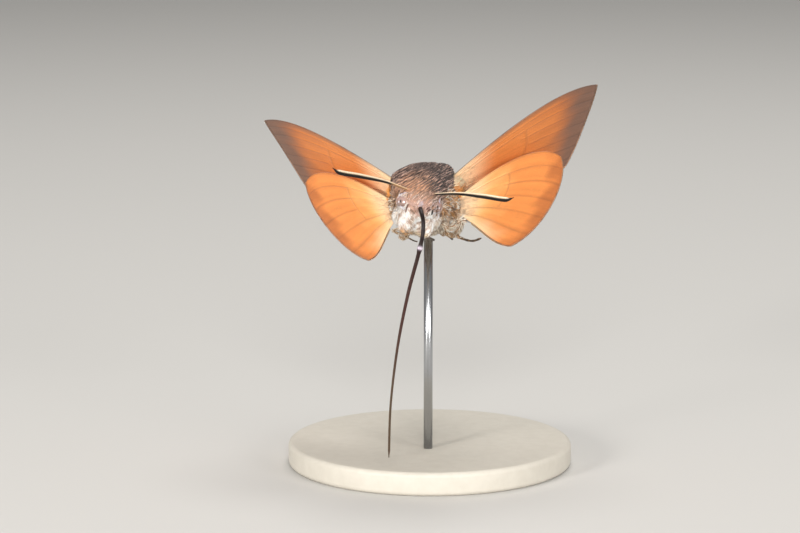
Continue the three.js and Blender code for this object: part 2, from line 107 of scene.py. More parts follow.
def wing_frame(lift_degrees):
    """A wing's own frame: X out along the wing, Y back across it, Z to its upper side."""
    lift, sweep, turn = (math.radians(a) for a in (lift_degrees, WING_SWEEP, WING_TURN))
    out = np.array([math.cos(lift) * math.cos(sweep), math.cos(lift) * math.sin(sweep), math.sin(lift)])
    level = np.array([-math.sin(sweep), math.cos(sweep), 0])
    down = np.array([math.sin(lift) * math.cos(sweep), math.sin(lift) * math.sin(sweep), -math.cos(lift)])
    back = level * math.cos(turn) + down * math.sin(turn)
    whole = np.eye(4)
    whole[:3, :] = np.column_stack([out, back, np.cross(out, back), FORE_ROOT])
    return Matrix(whole.tolist())


# Small maths

def unit(v):
    return v / np.maximum(np.linalg.norm(v, axis=-1, keepdims=True), 1e-9)


def dot(a, b):
    """The dot product of each row of one array with that row of the other, as a column."""
    return np.einsum("ij,ij->i", a, b)[:, None]


def lying(way, normals):
    """Directions laid along the surface that has the given normals."""
    return unit(way - normals * dot(way, normals))


def table(*parts):
    """Numbers, and arrays of them, side by side as columns."""
    return np.stack(np.broadcast_arrays(*parts), axis=-1)


def spokes(angle, side, up):
    """Directions at angles from one direction towards another."""
    return np.cos(angle)[:, None] * side + np.sin(angle)[:, None] * up


def step(x, low, high):
    t = np.clip((x - low) / (high - low), 0, 1)
    return t * t * (3 - 2 * t)


def peak(x, at, wide):
    """A smooth hump, 1 at its top."""
    return np.exp(-(((x - at) / wide) ** 2))


def waver(p, size, seed):
    """A smooth field between about -1 and 1 that changes over the given size."""
    draw = np.random.default_rng(seed)
    total = np.zeros(len(p))
    for _ in range(5):
        way = draw.normal(size=p.shape[1])
        total += np.sin(p @ way * (2.2 / size) + draw.uniform(0, 6.28)) * 0.45
    return total


def paint(code):
    """An sRGB hex colour as linear numbers."""
    c = np.array([int(code[i:i + 2], 16) for i in (1, 3, 5)]) / 255
    return np.where(c <= 0.04045, c / 12.92, ((c + 0.055) / 1.055) ** 2.4)


def mix(a, b, t):
    return a + (b - a) * np.asarray(t)[..., None]


def layered(colour, *layers):
    """A colour with others laid over it in turn, each with its own strength."""
    for over, strength in layers:
        colour = mix(colour, over, strength)
    return colour


# Meshes, all of triangles: points are rows of x, y, z, and faces are rows of three point numbers

def make_piece(name, points, faces, material, tint=None, uv=None):
    """A mesh object from arrays of points, in world millimetres, and triangles."""
    mesh = bpy.data.meshes.new(name)
    mesh.vertices.add(len(points))
    mesh.vertices.foreach_set("co", (np.asarray(points, float) * 0.001).ravel())
    mesh.loops.add(faces.size)
    mesh.loops.foreach_set("vertex_index", faces.ravel())
    mesh.polygons.add(len(faces))
    mesh.polygons.foreach_set("loop_start", np.arange(0, faces.size, 3))
    mesh.update(calc_edges=True)
    mesh.polygons.foreach_set("use_smooth", np.ones(len(faces), bool))
    if tint is not None:
        layer = mesh.attributes.new("tint", "FLOAT_COLOR", "POINT")
        layer.data.foreach_set("color", np.column_stack([tint, np.ones(len(tint))]).ravel())
    if uv is not None:
        layer = mesh.uv_layers.new(name="OFBake")
        layer.data.foreach_set("uv", uv[faces.ravel()].ravel())
    mesh.materials.append(material)
    piece = bpy.data.objects.new(name, mesh)
    bpy.context.collection.objects.link(piece)
    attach(piece, "root")
    return piece


def joined(parts):
    """Several (points, faces) pairs as one."""
    points, faces, start = [], [], 0
    for p, f in parts:
        points.append(p)
        faces.append(f + start)
        start += len(p)
    return np.concatenate(points), np.concatenate(faces)


def outward(points, faces):
    """The faces turned so that a closed form's inside is behind them."""
    a, b, c = (points[faces[:, k]] for k in range(3))
    return faces if np.einsum("ij,ij->", a, np.cross(b, c)) > 0 else faces[:, ::-1]


def placed(form, matrix):
    """A closed form, as points and faces, taken through a matrix that may mirror it."""
    points = moved(form[0], matrix)
    return points, outward(points, form[1])


def grid_faces(rows, columns, closed):
    i = np.arange(columns if closed else columns - 1)
    j = (i + 1) % columns
    starts = np.arange(rows - 1)[:, None] * columns
    quads = table(starts + i, starts + j, starts + columns + j, starts + columns + i).reshape(-1, 4)
    return np.concatenate([quads[:, [0, 1, 2]], quads[:, [0, 2, 3]]])


def loft(rings):
    """A closed skin over rings of points, given as an array (rings, sides, 3)."""
    rows, sides = rings.shape[:2]
    points = np.concatenate([rings.reshape(-1, 3), rings[[0, -1]].mean(axis=1)])
    i = np.arange(sides)
    j = (i + 1) % sides
    middle, top = rows * sides, (rows - 1) * sides
    caps = [table(j, i, middle), table(top + i, top + j, middle + 1)]
    return points, outward(points, np.concatenate([grid_faces(rows, sides, True), *caps]))


def egg(half, at, turn=(0, 0, 0), boxy=2.0, full=2.0, sides=40, rows=28):
    """The rounded egg of part.mjs: boxy squares its section across Y, and full fills out its ends."""
    lat = np.linspace(-1, 1, rows + 1)[:, None] * (math.pi / 2 - 0.03)
    around = np.linspace(0, 2 * math.pi, sides, endpoint=False)
    c, s = np.cos(around), np.sin(around)
    reach = np.cos(lat) ** (2 / full) * (np.abs(c) ** boxy + np.abs(s) ** boxy) ** (-1 / boxy)
    y = np.sign(np.sin(lat)) * np.abs(np.sin(lat)) ** (2 / full)
    rings = table(c * reach, y, s * reach) * half
    place = Matrix.Translation(at) @ turned("ZYX", X=turn[0], Y=turn[1], Z=turn[2])
    return loft(moved(rings.reshape(-1, 3), place).reshape(rings.shape))


def between(s, low, high, a, b):
    """Where s is on the way from a, which is at low, to b, which is at high."""
    return ((high - s) * a + (s - low) * b) / (high - low)


def smooth_path(points, count):
    """A centripetal Catmull-Rom curve through the points, sampled evenly along its length."""
    p = np.asarray(points, float)
    p = np.vstack([2 * p[0] - p[1], p, 2 * p[-1] - p[-2]])
    fine = []
    for near in zip(p, p[1:], p[2:], p[3:]):
        t = np.cumsum([0] + [math.sqrt(np.linalg.norm(b - a)) for a, b in zip(near, near[1:])])
        s = np.linspace(t[1], t[2], 24)[:, None]
        ab, bc, cd = (between(s, t[k], t[k + 1], near[k], near[k + 1]) for k in range(3))
        fine.append(between(s, t[1], t[2], between(s, t[0], t[2], ab, bc), between(s, t[1], t[3], bc, cd)))
    fine = np.concatenate(fine)
    along = np.concatenate([[0], np.cumsum(np.linalg.norm(np.diff(fine, axis=0), axis=1))])
    even = np.linspace(0, along[-1], count)
    return np.column_stack([np.interp(even, along, fine[:, k]) for k in range(3)])


def path_axes(path, over):
    """Directions along a path, to its side, and over it, as near to the one given as each turn allows."""
    ahead = unit(np.gradient(path, axis=0))
    side = unit(np.cross(ahead, over))
    return ahead, side, np.cross(side, ahead)


def ring_numbers(rows, sides):
    """Which ring of a loft each of its points is of; the two ends' middles come last."""
    return np.append(np.repeat(np.arange(rows), sides), (0, rows - 1))


def tube(path, radii, over=(0, 0, 1), sides=16, flat=1.0):
    """A round limb along a path; flat squeezes its height."""
    _, side, up = path_axes(path, np.asarray(over, float))
    around = np.linspace(0, 2 * math.pi, sides, endpoint=False)[None, :, None]
    r = np.asarray(radii)[:, None, None]
    return loft(path[:, None] + r * (np.cos(around) * side[:, None] + flat * np.sin(around) * up[:, None]))


# Materials

def new_material(name, roughness, **inputs):
    """A principled material, its node tree and its shader, with constants set on the shader itself."""
    material = bpy.data.materials.new(name)
    material.use_nodes = True
    tree = material.node_tree
    shader = tree.nodes["Principled BSDF"]
    shader.inputs["Roughness"].default_value = roughness
    for key, value in inputs.items():
        shader.inputs[key.replace("_", " ").title().replace("Ior", "IOR")].default_value = value
    return material, tree, shader


def node(tree, kind, output, settings=(), **inputs):
    """The named output of a new node, whose inputs are numbers or the outputs of other nodes."""
    made = tree.nodes.new(kind)
    for key, value in dict(settings).items():
        setattr(made, key, value)
    for key, value in inputs.items():
        socket = made.inputs[key.replace("_", " ")]
        if isinstance(value, bpy.types.NodeSocket):
            tree.links.new(value, socket)
        else:
            socket.default_value = value
    return made.outputs[output]


def mesh_tint(tree):
    return node(tree, "ShaderNodeAttribute", "Color", {"attribute_name": "tint"})


def object_place(tree):
    return node(tree, "ShaderNodeTexCoord", "Object")


def two_tone(tree, factor, dark, light):
    """A colour that runs from dark to light with a factor."""
    ramp = node(tree, "ShaderNodeValToRGB", "Color", Fac=factor)
    for element, code in zip(ramp.node.color_ramp.elements, (dark, light)):
        element.color = (*paint(code), 1)
    return ramp


def add_bump(tree, shader, height, strength, distance):
    bump = node(tree, "ShaderNodeBump", "Normal", Strength=strength, Distance=distance, Height=height)
    tree.links.new(bump, shader.inputs["Normal"])


def tinted(name, roughness, grain, spread=0.12, **inputs):
    """A coat of the mesh's own tint, varied a little by a fine grain of the given size in metres."""
    material, tree, shader = new_material(name, roughness, **inputs)
    noise = node(tree, "ShaderNodeTexNoise", "Fac", Vector=object_place(tree), Scale=1 / grain, Detail=4.0,
                 Roughness=0.6)
    vary = node(tree, "ShaderNodeMapRange", "Result", {"clamp": False}, Value=noise, From_Min=0.3,
                From_Max=0.7, To_Min=1 - spread, To_Max=1 + spread)
    colour = node(tree, "ShaderNodeVectorMath", "Vector", {"operation": "SCALE"}, Vector=mesh_tint(tree),
                  Scale=vary)
    tree.links.new(colour, shader.inputs["Base Color"])
    add_bump(tree, shader, noise, 0.35, grain * 0.4)
    return material


def eye_material():
    material, tree, shader = new_material("eye", 0.2, coat_weight=1.0, coat_roughness=0.04, coat_ior=1.9)
    facets = node(tree, "ShaderNodeTexVoronoi", "Distance", Vector=object_place(tree), Scale=26000.0)
    tree.links.new(mesh_tint(tree), shader.inputs["Base Color"])
    add_bump(tree, shader, facets, 0.12, 0.00001)
    return material


def lacquer_material():
    material, tree, shader = new_material("stand_lacquer", 0.55, coat_weight=0.06, coat_roughness=0.3)
    mottle = node(tree, "ShaderNodeTexNoise", "Fac", Vector=object_place(tree), Scale=900.0, Detail=6.0,
                  Roughness=0.6)
    tree.links.new(two_tone(tree, mottle, "#c2bcb0", "#d3cec3"), shader.inputs["Base Color"])
    add_bump(tree, shader, mottle, 0.06, 0.00004)
    return material


def steel_material():
    """Steel with fine lines drawn along it."""
    material, tree, shader = new_material("stand_steel", 0.24, metallic=1.0)
    stretch = node(tree, "ShaderNodeMapping", "Vector", Vector=object_place(tree),
                   Scale=(6000.0, 6000.0, 120.0))
    lines = node(tree, "ShaderNodeTexNoise", "Fac", Vector=stretch, Scale=1.0, Detail=3.0)
    tree.links.new(two_tone(tree, lines, "#9b9da0", "#c4c6c9"), shader.inputs["Base Color"])
    return material


FUR = tinted("fur", 0.7, grain=0.00009, sheen_weight=0.1, sheen_roughness=0.5)
FACE_FUR = tinted("face_fur", 0.6, grain=0.00007, sheen_weight=0.12, sheen_roughness=0.4)
HIDE = tinted("hide", 0.9, grain=0.00012, spread=0.25)
WING = tinted("wing_scales", 0.62, grain=0.00007, spread=0.16, sheen_weight=0.15, sheen_roughness=0.4)
SCALED = tinted("scaled_limb", 0.6, grain=0.00008, spread=0.2, specular_ior_level=0.25)
HORN = tinted("tongue_horn", 0.36, grain=0.0005, spread=0.1, specular_ior_level=0.22)
EYE = eye_material()


# The skin: one closed form under the coat, from the same eggs as the solids, less the depth of the coat

def thorax_parts():
    d = COAT["thorax"]
    eggs = [
        dict(half=(3.7 - d, 4.7 - d, 3.8 - d), at=(0, 0, 0), boxy=2.5, full=2.25),
        dict(half=(3.15 - d, 2.6 - d, 3.05 - d), at=(0, -3.2, 0.1), boxy=2.2),
        dict(half=(2.8 - d, 2.9 - d, 2.35 - d), at=(0, 2.9, -0.2), boxy=2.2),
        dict(half=(2.45, 1.9, 2.3), at=(0.05, -4.2, 0), boxy=2.1),  # the neck, filled out to the collar
        dict(half=(1.35, 2.2, 1.2), at=(1.55, 0.2, 2.2), boxy=2.6),  # the mantle's full left corner
        dict(half=(1.4, 2.4, 1.25), at=(-2.05, 0.2, 1.65), boxy=2.8),  # its right one, lower and further out
    ]
    for s in (1, -1):  # the shoulders
        half = (1.15 - d / 2, 2.6 - d, 1.3 - d / 2)
        eggs.append(dict(half=half, at=(s * 2.6, 0.6, 1.15), turn=(-6, 0, s * -5)))
    return [placed(egg(**e), MOTH) for e in eggs]


def head_parts():
    d, p = COAT["head"], COAT["palp"]
    across, ahead, up = PALP_AT
    eggs = [
        dict(half=(2.3 - d, 2.2 - d, 2.3 - d), at=(0, 0, 0), boxy=2.15),
        dict(half=(1.25 - d, 0.85, 1.2 - d), at=(0, -1.35, -0.1)),
        dict(half=(2.2 - d, 1.9, 2.25 - d), at=(0, 1.2, 0.05), boxy=2.1),
        dict(half=(1.0, 1.0, 1.45), at=(0, -1.25, -1.65)),
    ]
    eggs += [dict(half=(0.9, 1.7, 1.15), at=(s * 1.35, -0.1, -1.6)) for s in (1, -1)]
    for s in (1, -1):
        half = (0.82 - p / 2, 1.0 - p, 1.68 - p)
        eggs.append(dict(half=half, at=(s * across, ahead, up), turn=(-6, -9 * s, 0), boxy=2.3))
    eggs.append(dict(half=(1.7, 2.2, 1.7), at=(0, 1.5, -1.2)))  # the throat, from the head to the chest
    return [placed(egg(**e), HEAD) for e in eggs]


def droop(share):
    """How far the abdomen hangs at a share of its length."""
    return ABDOMEN_DROOP * np.clip(share, 0, 1) ** 1.6


def abdomen_ring(share, angle, depth):
    """A point of the abdomen, in the moth's frame, at a share of its length and an angle round it."""
    swell = 0.84 + 0.16 * np.sin(np.pi * np.minimum(1, share * 1.25))
    narrow = np.sqrt(np.maximum(0, 1 - np.maximum(0, (share - 0.45) / 0.62) ** 2.4))
    lip = 1 + 0.045 * ((share * SEGMENTS) % 1) ** 2
    wide, high = (half * swell * narrow * lip - depth for half in ABDOMEN_HALF)
    along = ABDOMEN_START + ABDOMEN_LENGTH * share
    return table(wide * np.cos(angle), along, high * np.sin(angle) - droop(share))


def abdomen_part():
    around = np.linspace(0, 2 * math.pi, 48, endpoint=False)
    share, angle = np.meshgrid(np.linspace(-0.12, 0.985, 90), around, indexing="ij")
    rings = abdomen_ring(np.maximum(share, 0.0), angle, COAT["abdomen"])
    rings[..., 1] = ABDOMEN_START + ABDOMEN_LENGTH * share
    return loft(moved(rings.reshape(-1, 3), MOTH).reshape(rings.shape))


def make_skin():
    """All the flesh as one surface: the parts run together, then smoothed."""
    points, faces = joined([*thorax_parts(), *head_parts(), abdomen_part()])
    mesh = bpy.data.meshes.new("flesh")
    mesh.from_pydata(points.tolist(), [], faces.tolist())
    rough = bpy.data.objects.new("flesh", mesh)
    bpy.context.collection.objects.link(rough)
    remesh = rough.modifiers.new("run_together", "REMESH")
    remesh.mode, remesh.voxel_size = "VOXEL", SKIN_VOXEL
    soften = rough.modifiers.new("soften", "SMOOTH")
    soften.factor, soften.iterations = 0.5, SKIN_SMOOTHING
    done = rough.evaluated_get(bpy.context.evaluated_depsgraph_get())
    shape = done.to_mesh()
    shape.calc_loop_triangles()
    skin = np.empty(len(shape.vertices) * 3)
    shape.vertices.foreach_get("co", skin)
    triangles = np.empty(len(shape.loop_triangles) * 3, np.int32)
    shape.loop_triangles.foreach_get("vertices", triangles)
    done.to_mesh_clear()
    bpy.data.objects.remove(rough)
    bpy.data.meshes.remove(mesh)
    return skin.reshape(-1, 3), triangles.reshape(-1, 3).astype(np.int64)


def surface_normals(points, faces):
    """The normals of a surface at its points, and the areas of its faces."""
    a, b, c = (points[faces[:, k]] for k in range(3))
    across = np.cross(b - a, c - a)
    normals = np.zeros_like(points)
    for k in range(3):
        np.add.at(normals, faces[:, k], across)
    return unit(normals), np.linalg.norm(across, axis=1) / 2


def tree_of(points):
    tree = KDTree(len(points))
    for number, point in enumerate(points):
        tree.insert(point, number)
    tree.balance()
    return tree


def nearest(tree, points):
    """For each point the number of the nearest point in a tree."""
    return np.array([tree.find(p)[1] for p in points])


skin_points, skin_faces = make_skin()
skin_normals, skin_areas = surface_normals(skin_points, skin_faces)
skin_tree = tree_of(skin_points)


# Where on the body a point is

THORAX_PART, HEAD_PART, PALP_PART, ABDOMEN_PART = range(4)
WAIST = 4.1  # where the abdomen's coat starts, along the moth's Y
HEAD_REACH = 2.45  # how far from the head's middle its coat goes
WINGS_MIDDLE, WINGS_REACH = (3.7, -0.4, 1.0), (1.1, 2.1, 1.5)  # of the hair round the left wings' roots


def region_of(p):
    """Which part of the body world points are on, and their places in the moth's and the head's frame."""
    m, h = moved(p, MOTH.inverted()), moved(p, HEAD.inverted())
    region = np.full(len(p), THORAX_PART)
    region[m[:, 1] > WAIST] = ABDOMEN_PART
    region[np.linalg.norm(h / HEAD_REACH, axis=1) < 1] = HEAD_PART
    over = h[:, 2] - PALP_AT[2]
    lean = np.abs(h[:, 0]) - PALP_AT[0] - 0.12 * over
    in_palp = (np.hypot(lean / 0.98, over / 1.75) < 1) & (h[:, 1] < -0.9) & (h[:, 2] < -0.3)
    region[in_palp] = PALP_PART
    return region, m, h


def left_side(p):
    """Points with those of the right side mirrored to the left."""
    return table(np.abs(p[:, 0]), p[:, 1], p[:, 2])


def eye_distance(h):
    """How far outside the nearer eye a point of the head's frame is, in eye radii."""
    return np.linalg.norm(spun(left_side(h) - EYE_AT, turned("Z", Z=-EYE_TURN)) / EYE_HALF, axis=1)


def wing_distance(m):
    """How far a point of the moth's frame is from the nearer wings' roots, about 1 at their rim.

    The right side's hair there is lower, so what is above it counts as further off.
    """
    near = (left_side(m) - WINGS_MIDDLE) / WINGS_REACH
    return np.linalg.norm(near, axis=1) + 1.2 * step(m[:, 2], 0.5, 1.0) * (m[:, 0] < 0)


# Markings, the same for the skin and the coat; vary, from -1 to 1, is for the mix of hairs

DORSAL, DORSAL_LIGHT, DORSAL_DARK = paint("#583f37"), paint("#a98d80"), paint("#221817")
FLANK, FLANK_DARK, VENTER, CREAM = paint("#ce965a"), paint("#553c2b"), paint("#e4d2b4"), paint("#fdf1e0")
OCHRE, WING_CREAM = paint("#f8a048"), paint("#fbdab6")
FACE, CROWN, NOSE = paint("#cfa286"), paint("#c48d66"), paint("#d7afa0")
CHEEK, PALP_UNDER, CHIN = paint("#fff6ee"), paint("#c99f80"), paint("#c9b184")
TERGITE, STERNITE, TAIL = paint("#75624f"), paint("#9a866f"), paint("#2b211d")


def thorax_colours(m, vary, wave):
    """Dark above with paler hairs, tan flanks with white and brown ones, pale below.

    Gives the top, the flank, and all of it.
    """
    x, y, z = m.T
    sharp = step(x, 0.3, 2.2)  # the streaks stand out more on the left
    top = layered(
        DORSAL,
        (DORSAL_LIGHT * (1 + 0.5 * sharp)[:, None],
         step(vary, 0.1 + 0.25 * sharp, 0.9 - 0.1 * sharp) * (0.75 + 0.25 * sharp)),
        (DORSAL_DARK, step(-vary + 0.15 * wave, -0.2 * sharp, 0.7 - 0.45 * sharp) * 0.9),
    )
    # painted light: the top of the moth's right side is made up to 40% lighter, as light falls more on it
    # from that side
    top = top * (1 + 0.4 * step(-x, 0.6, 2.6) * (z > 0))[:, None]
    flank = layered(FLANK, (CREAM, step(vary, 0.15, 0.5) * 0.9), (FLANK_DARK, step(-vary, 0.2, 0.55) * 0.9))
    below = layered(
        VENTER,
        (CREAM, step(vary, -0.4, 0.5)),
        (CHEEK, step(-y, 4.6, 6.0) * 0.6),
        (PALP_UNDER, step(-vary, 0.0, 0.4) * 0.6),
        (FLANK_DARK, step(-vary, 0.45, 0.8) * 0.65),
    )
    # the white of the right cheek runs on over the hair behind it
    behind = step(-y, 3.6, 5.0) * step(-x, 1.0, 1.8) * step(-z + 0.3 * vary, 0.3, 0.9)
    at_wings = mix(OCHRE, WING_CREAM, step(z + 0.4 * vary + 0.4 * np.sign(x), 0.9, 1.6))
    return top, flank, layered(
        flank,
        (top, step(z + 0.25 * wave + 0.2 * vary - 0.05 * np.abs(x), 0.0, 0.8)),
        (below, step(-z + 0.25 * wave + 0.2 * vary, 1.2, 2.3)),
        (mix(CHEEK, FLANK_DARK, step(-vary, 0.45, 0.85) * 0.65), behind * 0.9),
        (at_wings, (1 - step(wing_distance(m), 0.95, 1.2)) * 0.95),
    )


def crown_colours(m, vary, wave):
    """The tan crown, and how strong it is: it fades into the dark collar without an edge."""
    crown = layered(
        CROWN,
        (DORSAL_LIGHT, step(-vary, 0.0, 0.5) * 0.8),
        (DORSAL, step(-vary, 0.5, 0.9) * 0.8),
        (FACE, step(vary, 0.3, 0.9) * 0.8),
    )
    away = np.hypot((m[:, 0] + 0.8) / 1.9, (m[:, 2] - 0.8) / 1.05) - 0.25 * vary + 0.12 * wave
    return crown, (1 - step(away, 0.35, 1.55)) * step(-m[:, 1], 2.6, 4.6)


def face_colour(h, vary, top, flank, over):
    """Pink-brown, with white cheeks, pale and dark hair round the eyes, and the crown's colour over it."""
    across, up = np.abs(h[:, 0]), h[:, 2]
    rim = eye_distance(h)
    return layered(
        FACE,
        (NOSE, step(-up, -0.5, 0.5)),
        (CROWN, step(vary, 0.05, 0.25) * (1 - step(vary, 0.4, 0.55)) * 0.7),
        (DORSAL_LIGHT * 0.85, step(-vary, 0.1, 0.8) * 0.7),
        (FLANK_DARK, step(-vary, 0.65, 0.95) * 0.6),
        (CHEEK, step(vary, 0.55, 0.95) * 0.6),
        (over, step(up + 0.3 * vary, 0.1, 1.1)),
        (mix(flank, top, step(up + 0.2 * vary, -0.3, 0.7)),
         step(h[:, 1] + 0.3 * across + 0.4 * vary, 0.6, 1.6)),
        (CHEEK, step(-up - 0.15 * vary, 0.45, 0.95) * step(across, 0.85, 1.25)),
        (CHEEK, (1 - step(rim, 1.15, 1.35)) * step(across, 1.3, 1.7) * (1 - step(up, 0.0, 0.5)) * 0.9),
        (FLANK_DARK, (1 - step(rim, 1.1, 1.4)) * step(-vary, 0.2, 0.6) * 0.7),
    )


def palp_colour(h, vary):
    """Pink-brown where the palps start, white below, olive-cream at the chin, and brown at its right."""
    across, up = np.abs(h[:, 0]), h[:, 2]
    brown = step(-up - 0.5 * h[:, 0] + 0.3 * vary, 3.1, 3.6) * step(-h[:, 0], 0.3, 1.0)
    return layered(
        NOSE,
        (CHEEK, np.maximum(step(-up + 0.15 * vary, 0.85, 1.3), step(across, 1.0, 1.3))),
        (PALP_UNDER, step(-vary, 0.0, 0.4) * 0.75),
        (FLANK_DARK, step(-vary, 0.6, 0.9) * (0.45 + 0.3 * step(up, -1.6, -0.8))),
        (CHEEK, step(vary, 0.5, 0.9) * 0.5),
        (CHIN, step(-up + 0.3 * vary, 2.5, 3.3) * 0.8),
        (mix(FLANK, FLANK_DARK, step(-vary, -0.3, 0.4)), brown * 0.8),
    )


def abdomen_colour(m, vary, wave):
    """Grey-brown above, black-brown behind, with paler hind edges to the segments."""
    share = (m[:, 1] - ABDOMEN_START) / ABDOMEN_LENGTH
    edge = step((share * SEGMENTS) % 1, 0.7, 0.95)
    back = layered(
        TERGITE,
        (DORSAL_LIGHT, np.clip(0.1 + 0.3 * vary + 0.7 * edge * (share < 0.6), 0, 1)),
        (DORSAL_DARK, step(-vary, 0.2, 0.9) * 0.6),
        (TAIL, step(share + 0.03 * wave, 0.52, 0.8) * 0.85),
    )
    belly = mix(STERNITE, VENTER, np.clip(0.2 + 0.5 * vary, 0, 1) * (1 - step(share, 0.5, 0.8)))
    return mix(back, belly, step(-(m[:, 2] + droop(share)) / 2.4, 0.1, 0.45))


def markings(p, vary):
    """The coat's colour at points of the world."""
    region, m, h = region_of(p)
    wave = waver(m, 1.6, 5)
    top, flank, colour = thorax_colours(m, vary, wave)
    crown, tan = crown_colours(m, vary, wave)
    colour = mix(colour, crown, tan)
    face = face_colour(h, vary, top, flank, mix(top, crown, tan))
    colour = np.where((region == HEAD_PART)[:, None], face, colour)
    colour = np.where((region == PALP_PART)[:, None], palp_colour(h, vary), colour)
    behind = step(m[:, 1], 3.6, 4.6) * (region != HEAD_PART)
    return mix(colour, abdomen_colour(m, vary, wave), behind) * np.exp(0.25 * vary)[:, None]


NECK = -4.2  # where the head's part of the map ends, along the moth's Y
MAP_LENGTH = 28  # what the map spans along the body


def inset(share):
    """Shares of a map, kept clear of its edges."""
    return 0.02 + 0.96 * share


def unwrap(p):
    """The skin laid flat: round the body across, and from the face to the tail up."""
    _, m, h = region_of(p)
    from_face = 2.3 * np.arccos(np.clip(-h[:, 1] / np.maximum(np.linalg.norm(h, axis=1), 1e-6), -1, 1))
    on_head = m[:, 1] < NECK
    along = np.where(on_head, from_face, 4.6 + np.maximum(m[:, 1] - NECK, 0))
    around = np.where(on_head, np.arctan2(h[:, 0], h[:, 2]), np.arctan2(m[:, 0], m[:, 2] + 0.4))
    return inset(table(around / (2 * math.pi) + 0.5, along / MAP_LENGTH))


# The coat: solid tapered tufts, each with its root sunk in the skin

SLANT, SLANT_CHANGE = 34, 2.5  # degrees that the mantle's hairs run up to the left, and more for each mm
ROOT_SUNK, PATCH = 0.05, 0.003  # how deep a root is, and how wide a tuft is on the map
SHORT = (0, 0.5, 1)  # the stations of a short tuft


def slant_at(m):
    return np.radians(SLANT + SLANT_CHANGE * np.clip(m[:, 0], -3.5, 3.5))


def slanting(m, normals, more=0.0):
    """The lie over whatever faces forwards, up to the left, and how much a place faces forwards."""
    n = spun(normals, MOTH.inverted())
    slant = slant_at(m) + math.radians(more)
    c, s = np.cos(slant), np.sin(slant)
    back = (c * n[:, 0] + s * n[:, 2]) / np.maximum(-n[:, 1], 0.35)
    return table(c, np.clip(back, -1.0, 3.0), s), -n[:, 1]


def streaks(m):
    """Fine streaks of pale and dark hair that run as the mantle's hairs do, from about -1 to 1."""
    across = m[:, 2] + np.log(np.cos(slant_at(m))) / math.radians(SLANT_CHANGE)
    draw = np.random.default_rng(12)
    total = np.zeros(len(m))
    for pitch in np.linspace(0.2, 0.38, 7):
        shift = 1.3 * np.sin(m[:, 0] * draw.uniform(0.7, 2.2) + draw.uniform(0, 6.28))
        total += np.sin(across * 2 * math.pi / pitch + shift + draw.uniform(0, 6.28))
    return total * 0.55


def lie(p, normals, tangle):
    """Which way the hairs lie at points of the skin; tangle is how far they stray from it."""
    region, m, h = region_of(p)
    hand = np.sign(h[:, 0])
    slope, forwards = slanting(m, normals)
    # along the body, but slanting over the front of the mantle, and together under the chin
    back = table(0.25 * np.sign(m[:, 0]) * step(-m[:, 2], 0.0, 2.5), 1.0, -0.2 * (region == ABDOMEN_PART))
    back = mix(back, slope, step(forwards, -0.1, 0.25) * step(m[:, 2], 0.0, 1.2))
    low = step(-m[:, 2], 0.8, 2.0) * np.clip(forwards, 0, 1) ** 0.7
    back += low[:, None] * table(-0.9 * hand, 0.0, -1.6)
    out = 1 - step(wing_distance(m), 0.7, 1.2)
    back += out[:, None] * table(1.8 * np.sign(m[:, 0]), 0.2, 0.5)
    # over the face as over the mantle, a little outwards from the tongue, and down the cheeks and palps
    slope, _ = slanting(m, normals, 8.0)
    over_face = spun(spun(unit(slope), MOTH), HEAD.inverted())
    over_face += unit(h - (0, -1.6, -0.9)) * (0.45 - 0.35 * step(h[:, 2], -0.4, 0.6))[:, None]
    near = (1 - step(eye_distance(h), 1.1, 1.5)) * step(h[:, 2], -0.3, 0.4)
    over_face -= unit(h - table(hand * EYE_AT[0], *EYE_AT[1:])) * (0.8 * near)[:, None]
    down = table(-1.1 * hand * step(np.abs(h[:, 0]), 0.1, 0.7), 0.15, -1.0)
    over_face = mix(over_face, down, step(-h[:, 2], 0.35, 0.9) * step(np.abs(h[:, 0]), 0.7, 1.1))
    way = np.where((region == HEAD_PART)[:, None], spun(over_face, HEAD), spun(back, MOTH))
    way = np.where((region == PALP_PART)[:, None], spun(down, HEAD), way)
    sway = np.column_stack([waver(p, 0.9, 30 + k) for k in range(3)])
    return lying(unit(way) + tangle * (0.6 * sway + 0.8 * rng.normal(size=p.shape)), normals)


def tufts(roots, normals, way, length, width, rise, bend=0.0, sag=0.0, curl=0.35, ridge=0.3,
          stations=(0, 0.35, 0.7, 1)):
    """Tapered three-sided tufts, bent to one side: points, faces, and where on each tuft a point is."""
    n = len(roots)
    side = unit(np.cross(way, normals))
    length, width, rise = (np.broadcast_to(v, n) for v in (length, width, rise))
    bend = bend + rng.normal(0, 0.04, n)
    points, spots = [], []
    for t in stations:
        ahead = (np.cos(rise) * t * length)[:, None] * way
        over = (np.sin(rise) * length * (t - curl * t * t) - ROOT_SUNK)[:, None] * normals
        centre = roots + ahead + over + (bend * length * t * t)[:, None] * side + sag * t * t
        w = (width * (0.8 + 0.6 * t - 1.25 * t * t))[:, None]
        corners = ((0.0, 0.0),) if t == 1 else ((-0.5, 0.0), (0.5, 0.0), (0.0, ridge))
        points += [centre + a * w * side + b * w * normals for a, b in corners]
        spots += [(0.5 + a, t) for a, _ in corners]
    k, rings = len(spots), len(stations) - 1
    last = (rings - 1) * 3
    ends = [[last, last + 1, k - 1], [last + 1, last + 2, k - 1], [last + 2, last, k - 1], [0, 2, 1]]
    faces = np.concatenate([grid_faces(rings, 3, True), np.array(ends)])
    every = (faces[None] + (np.arange(n) * k)[:, None, None]).reshape(-1, 3)
    return np.stack(points, axis=1).reshape(-1, 3), every, np.array(spots, float)


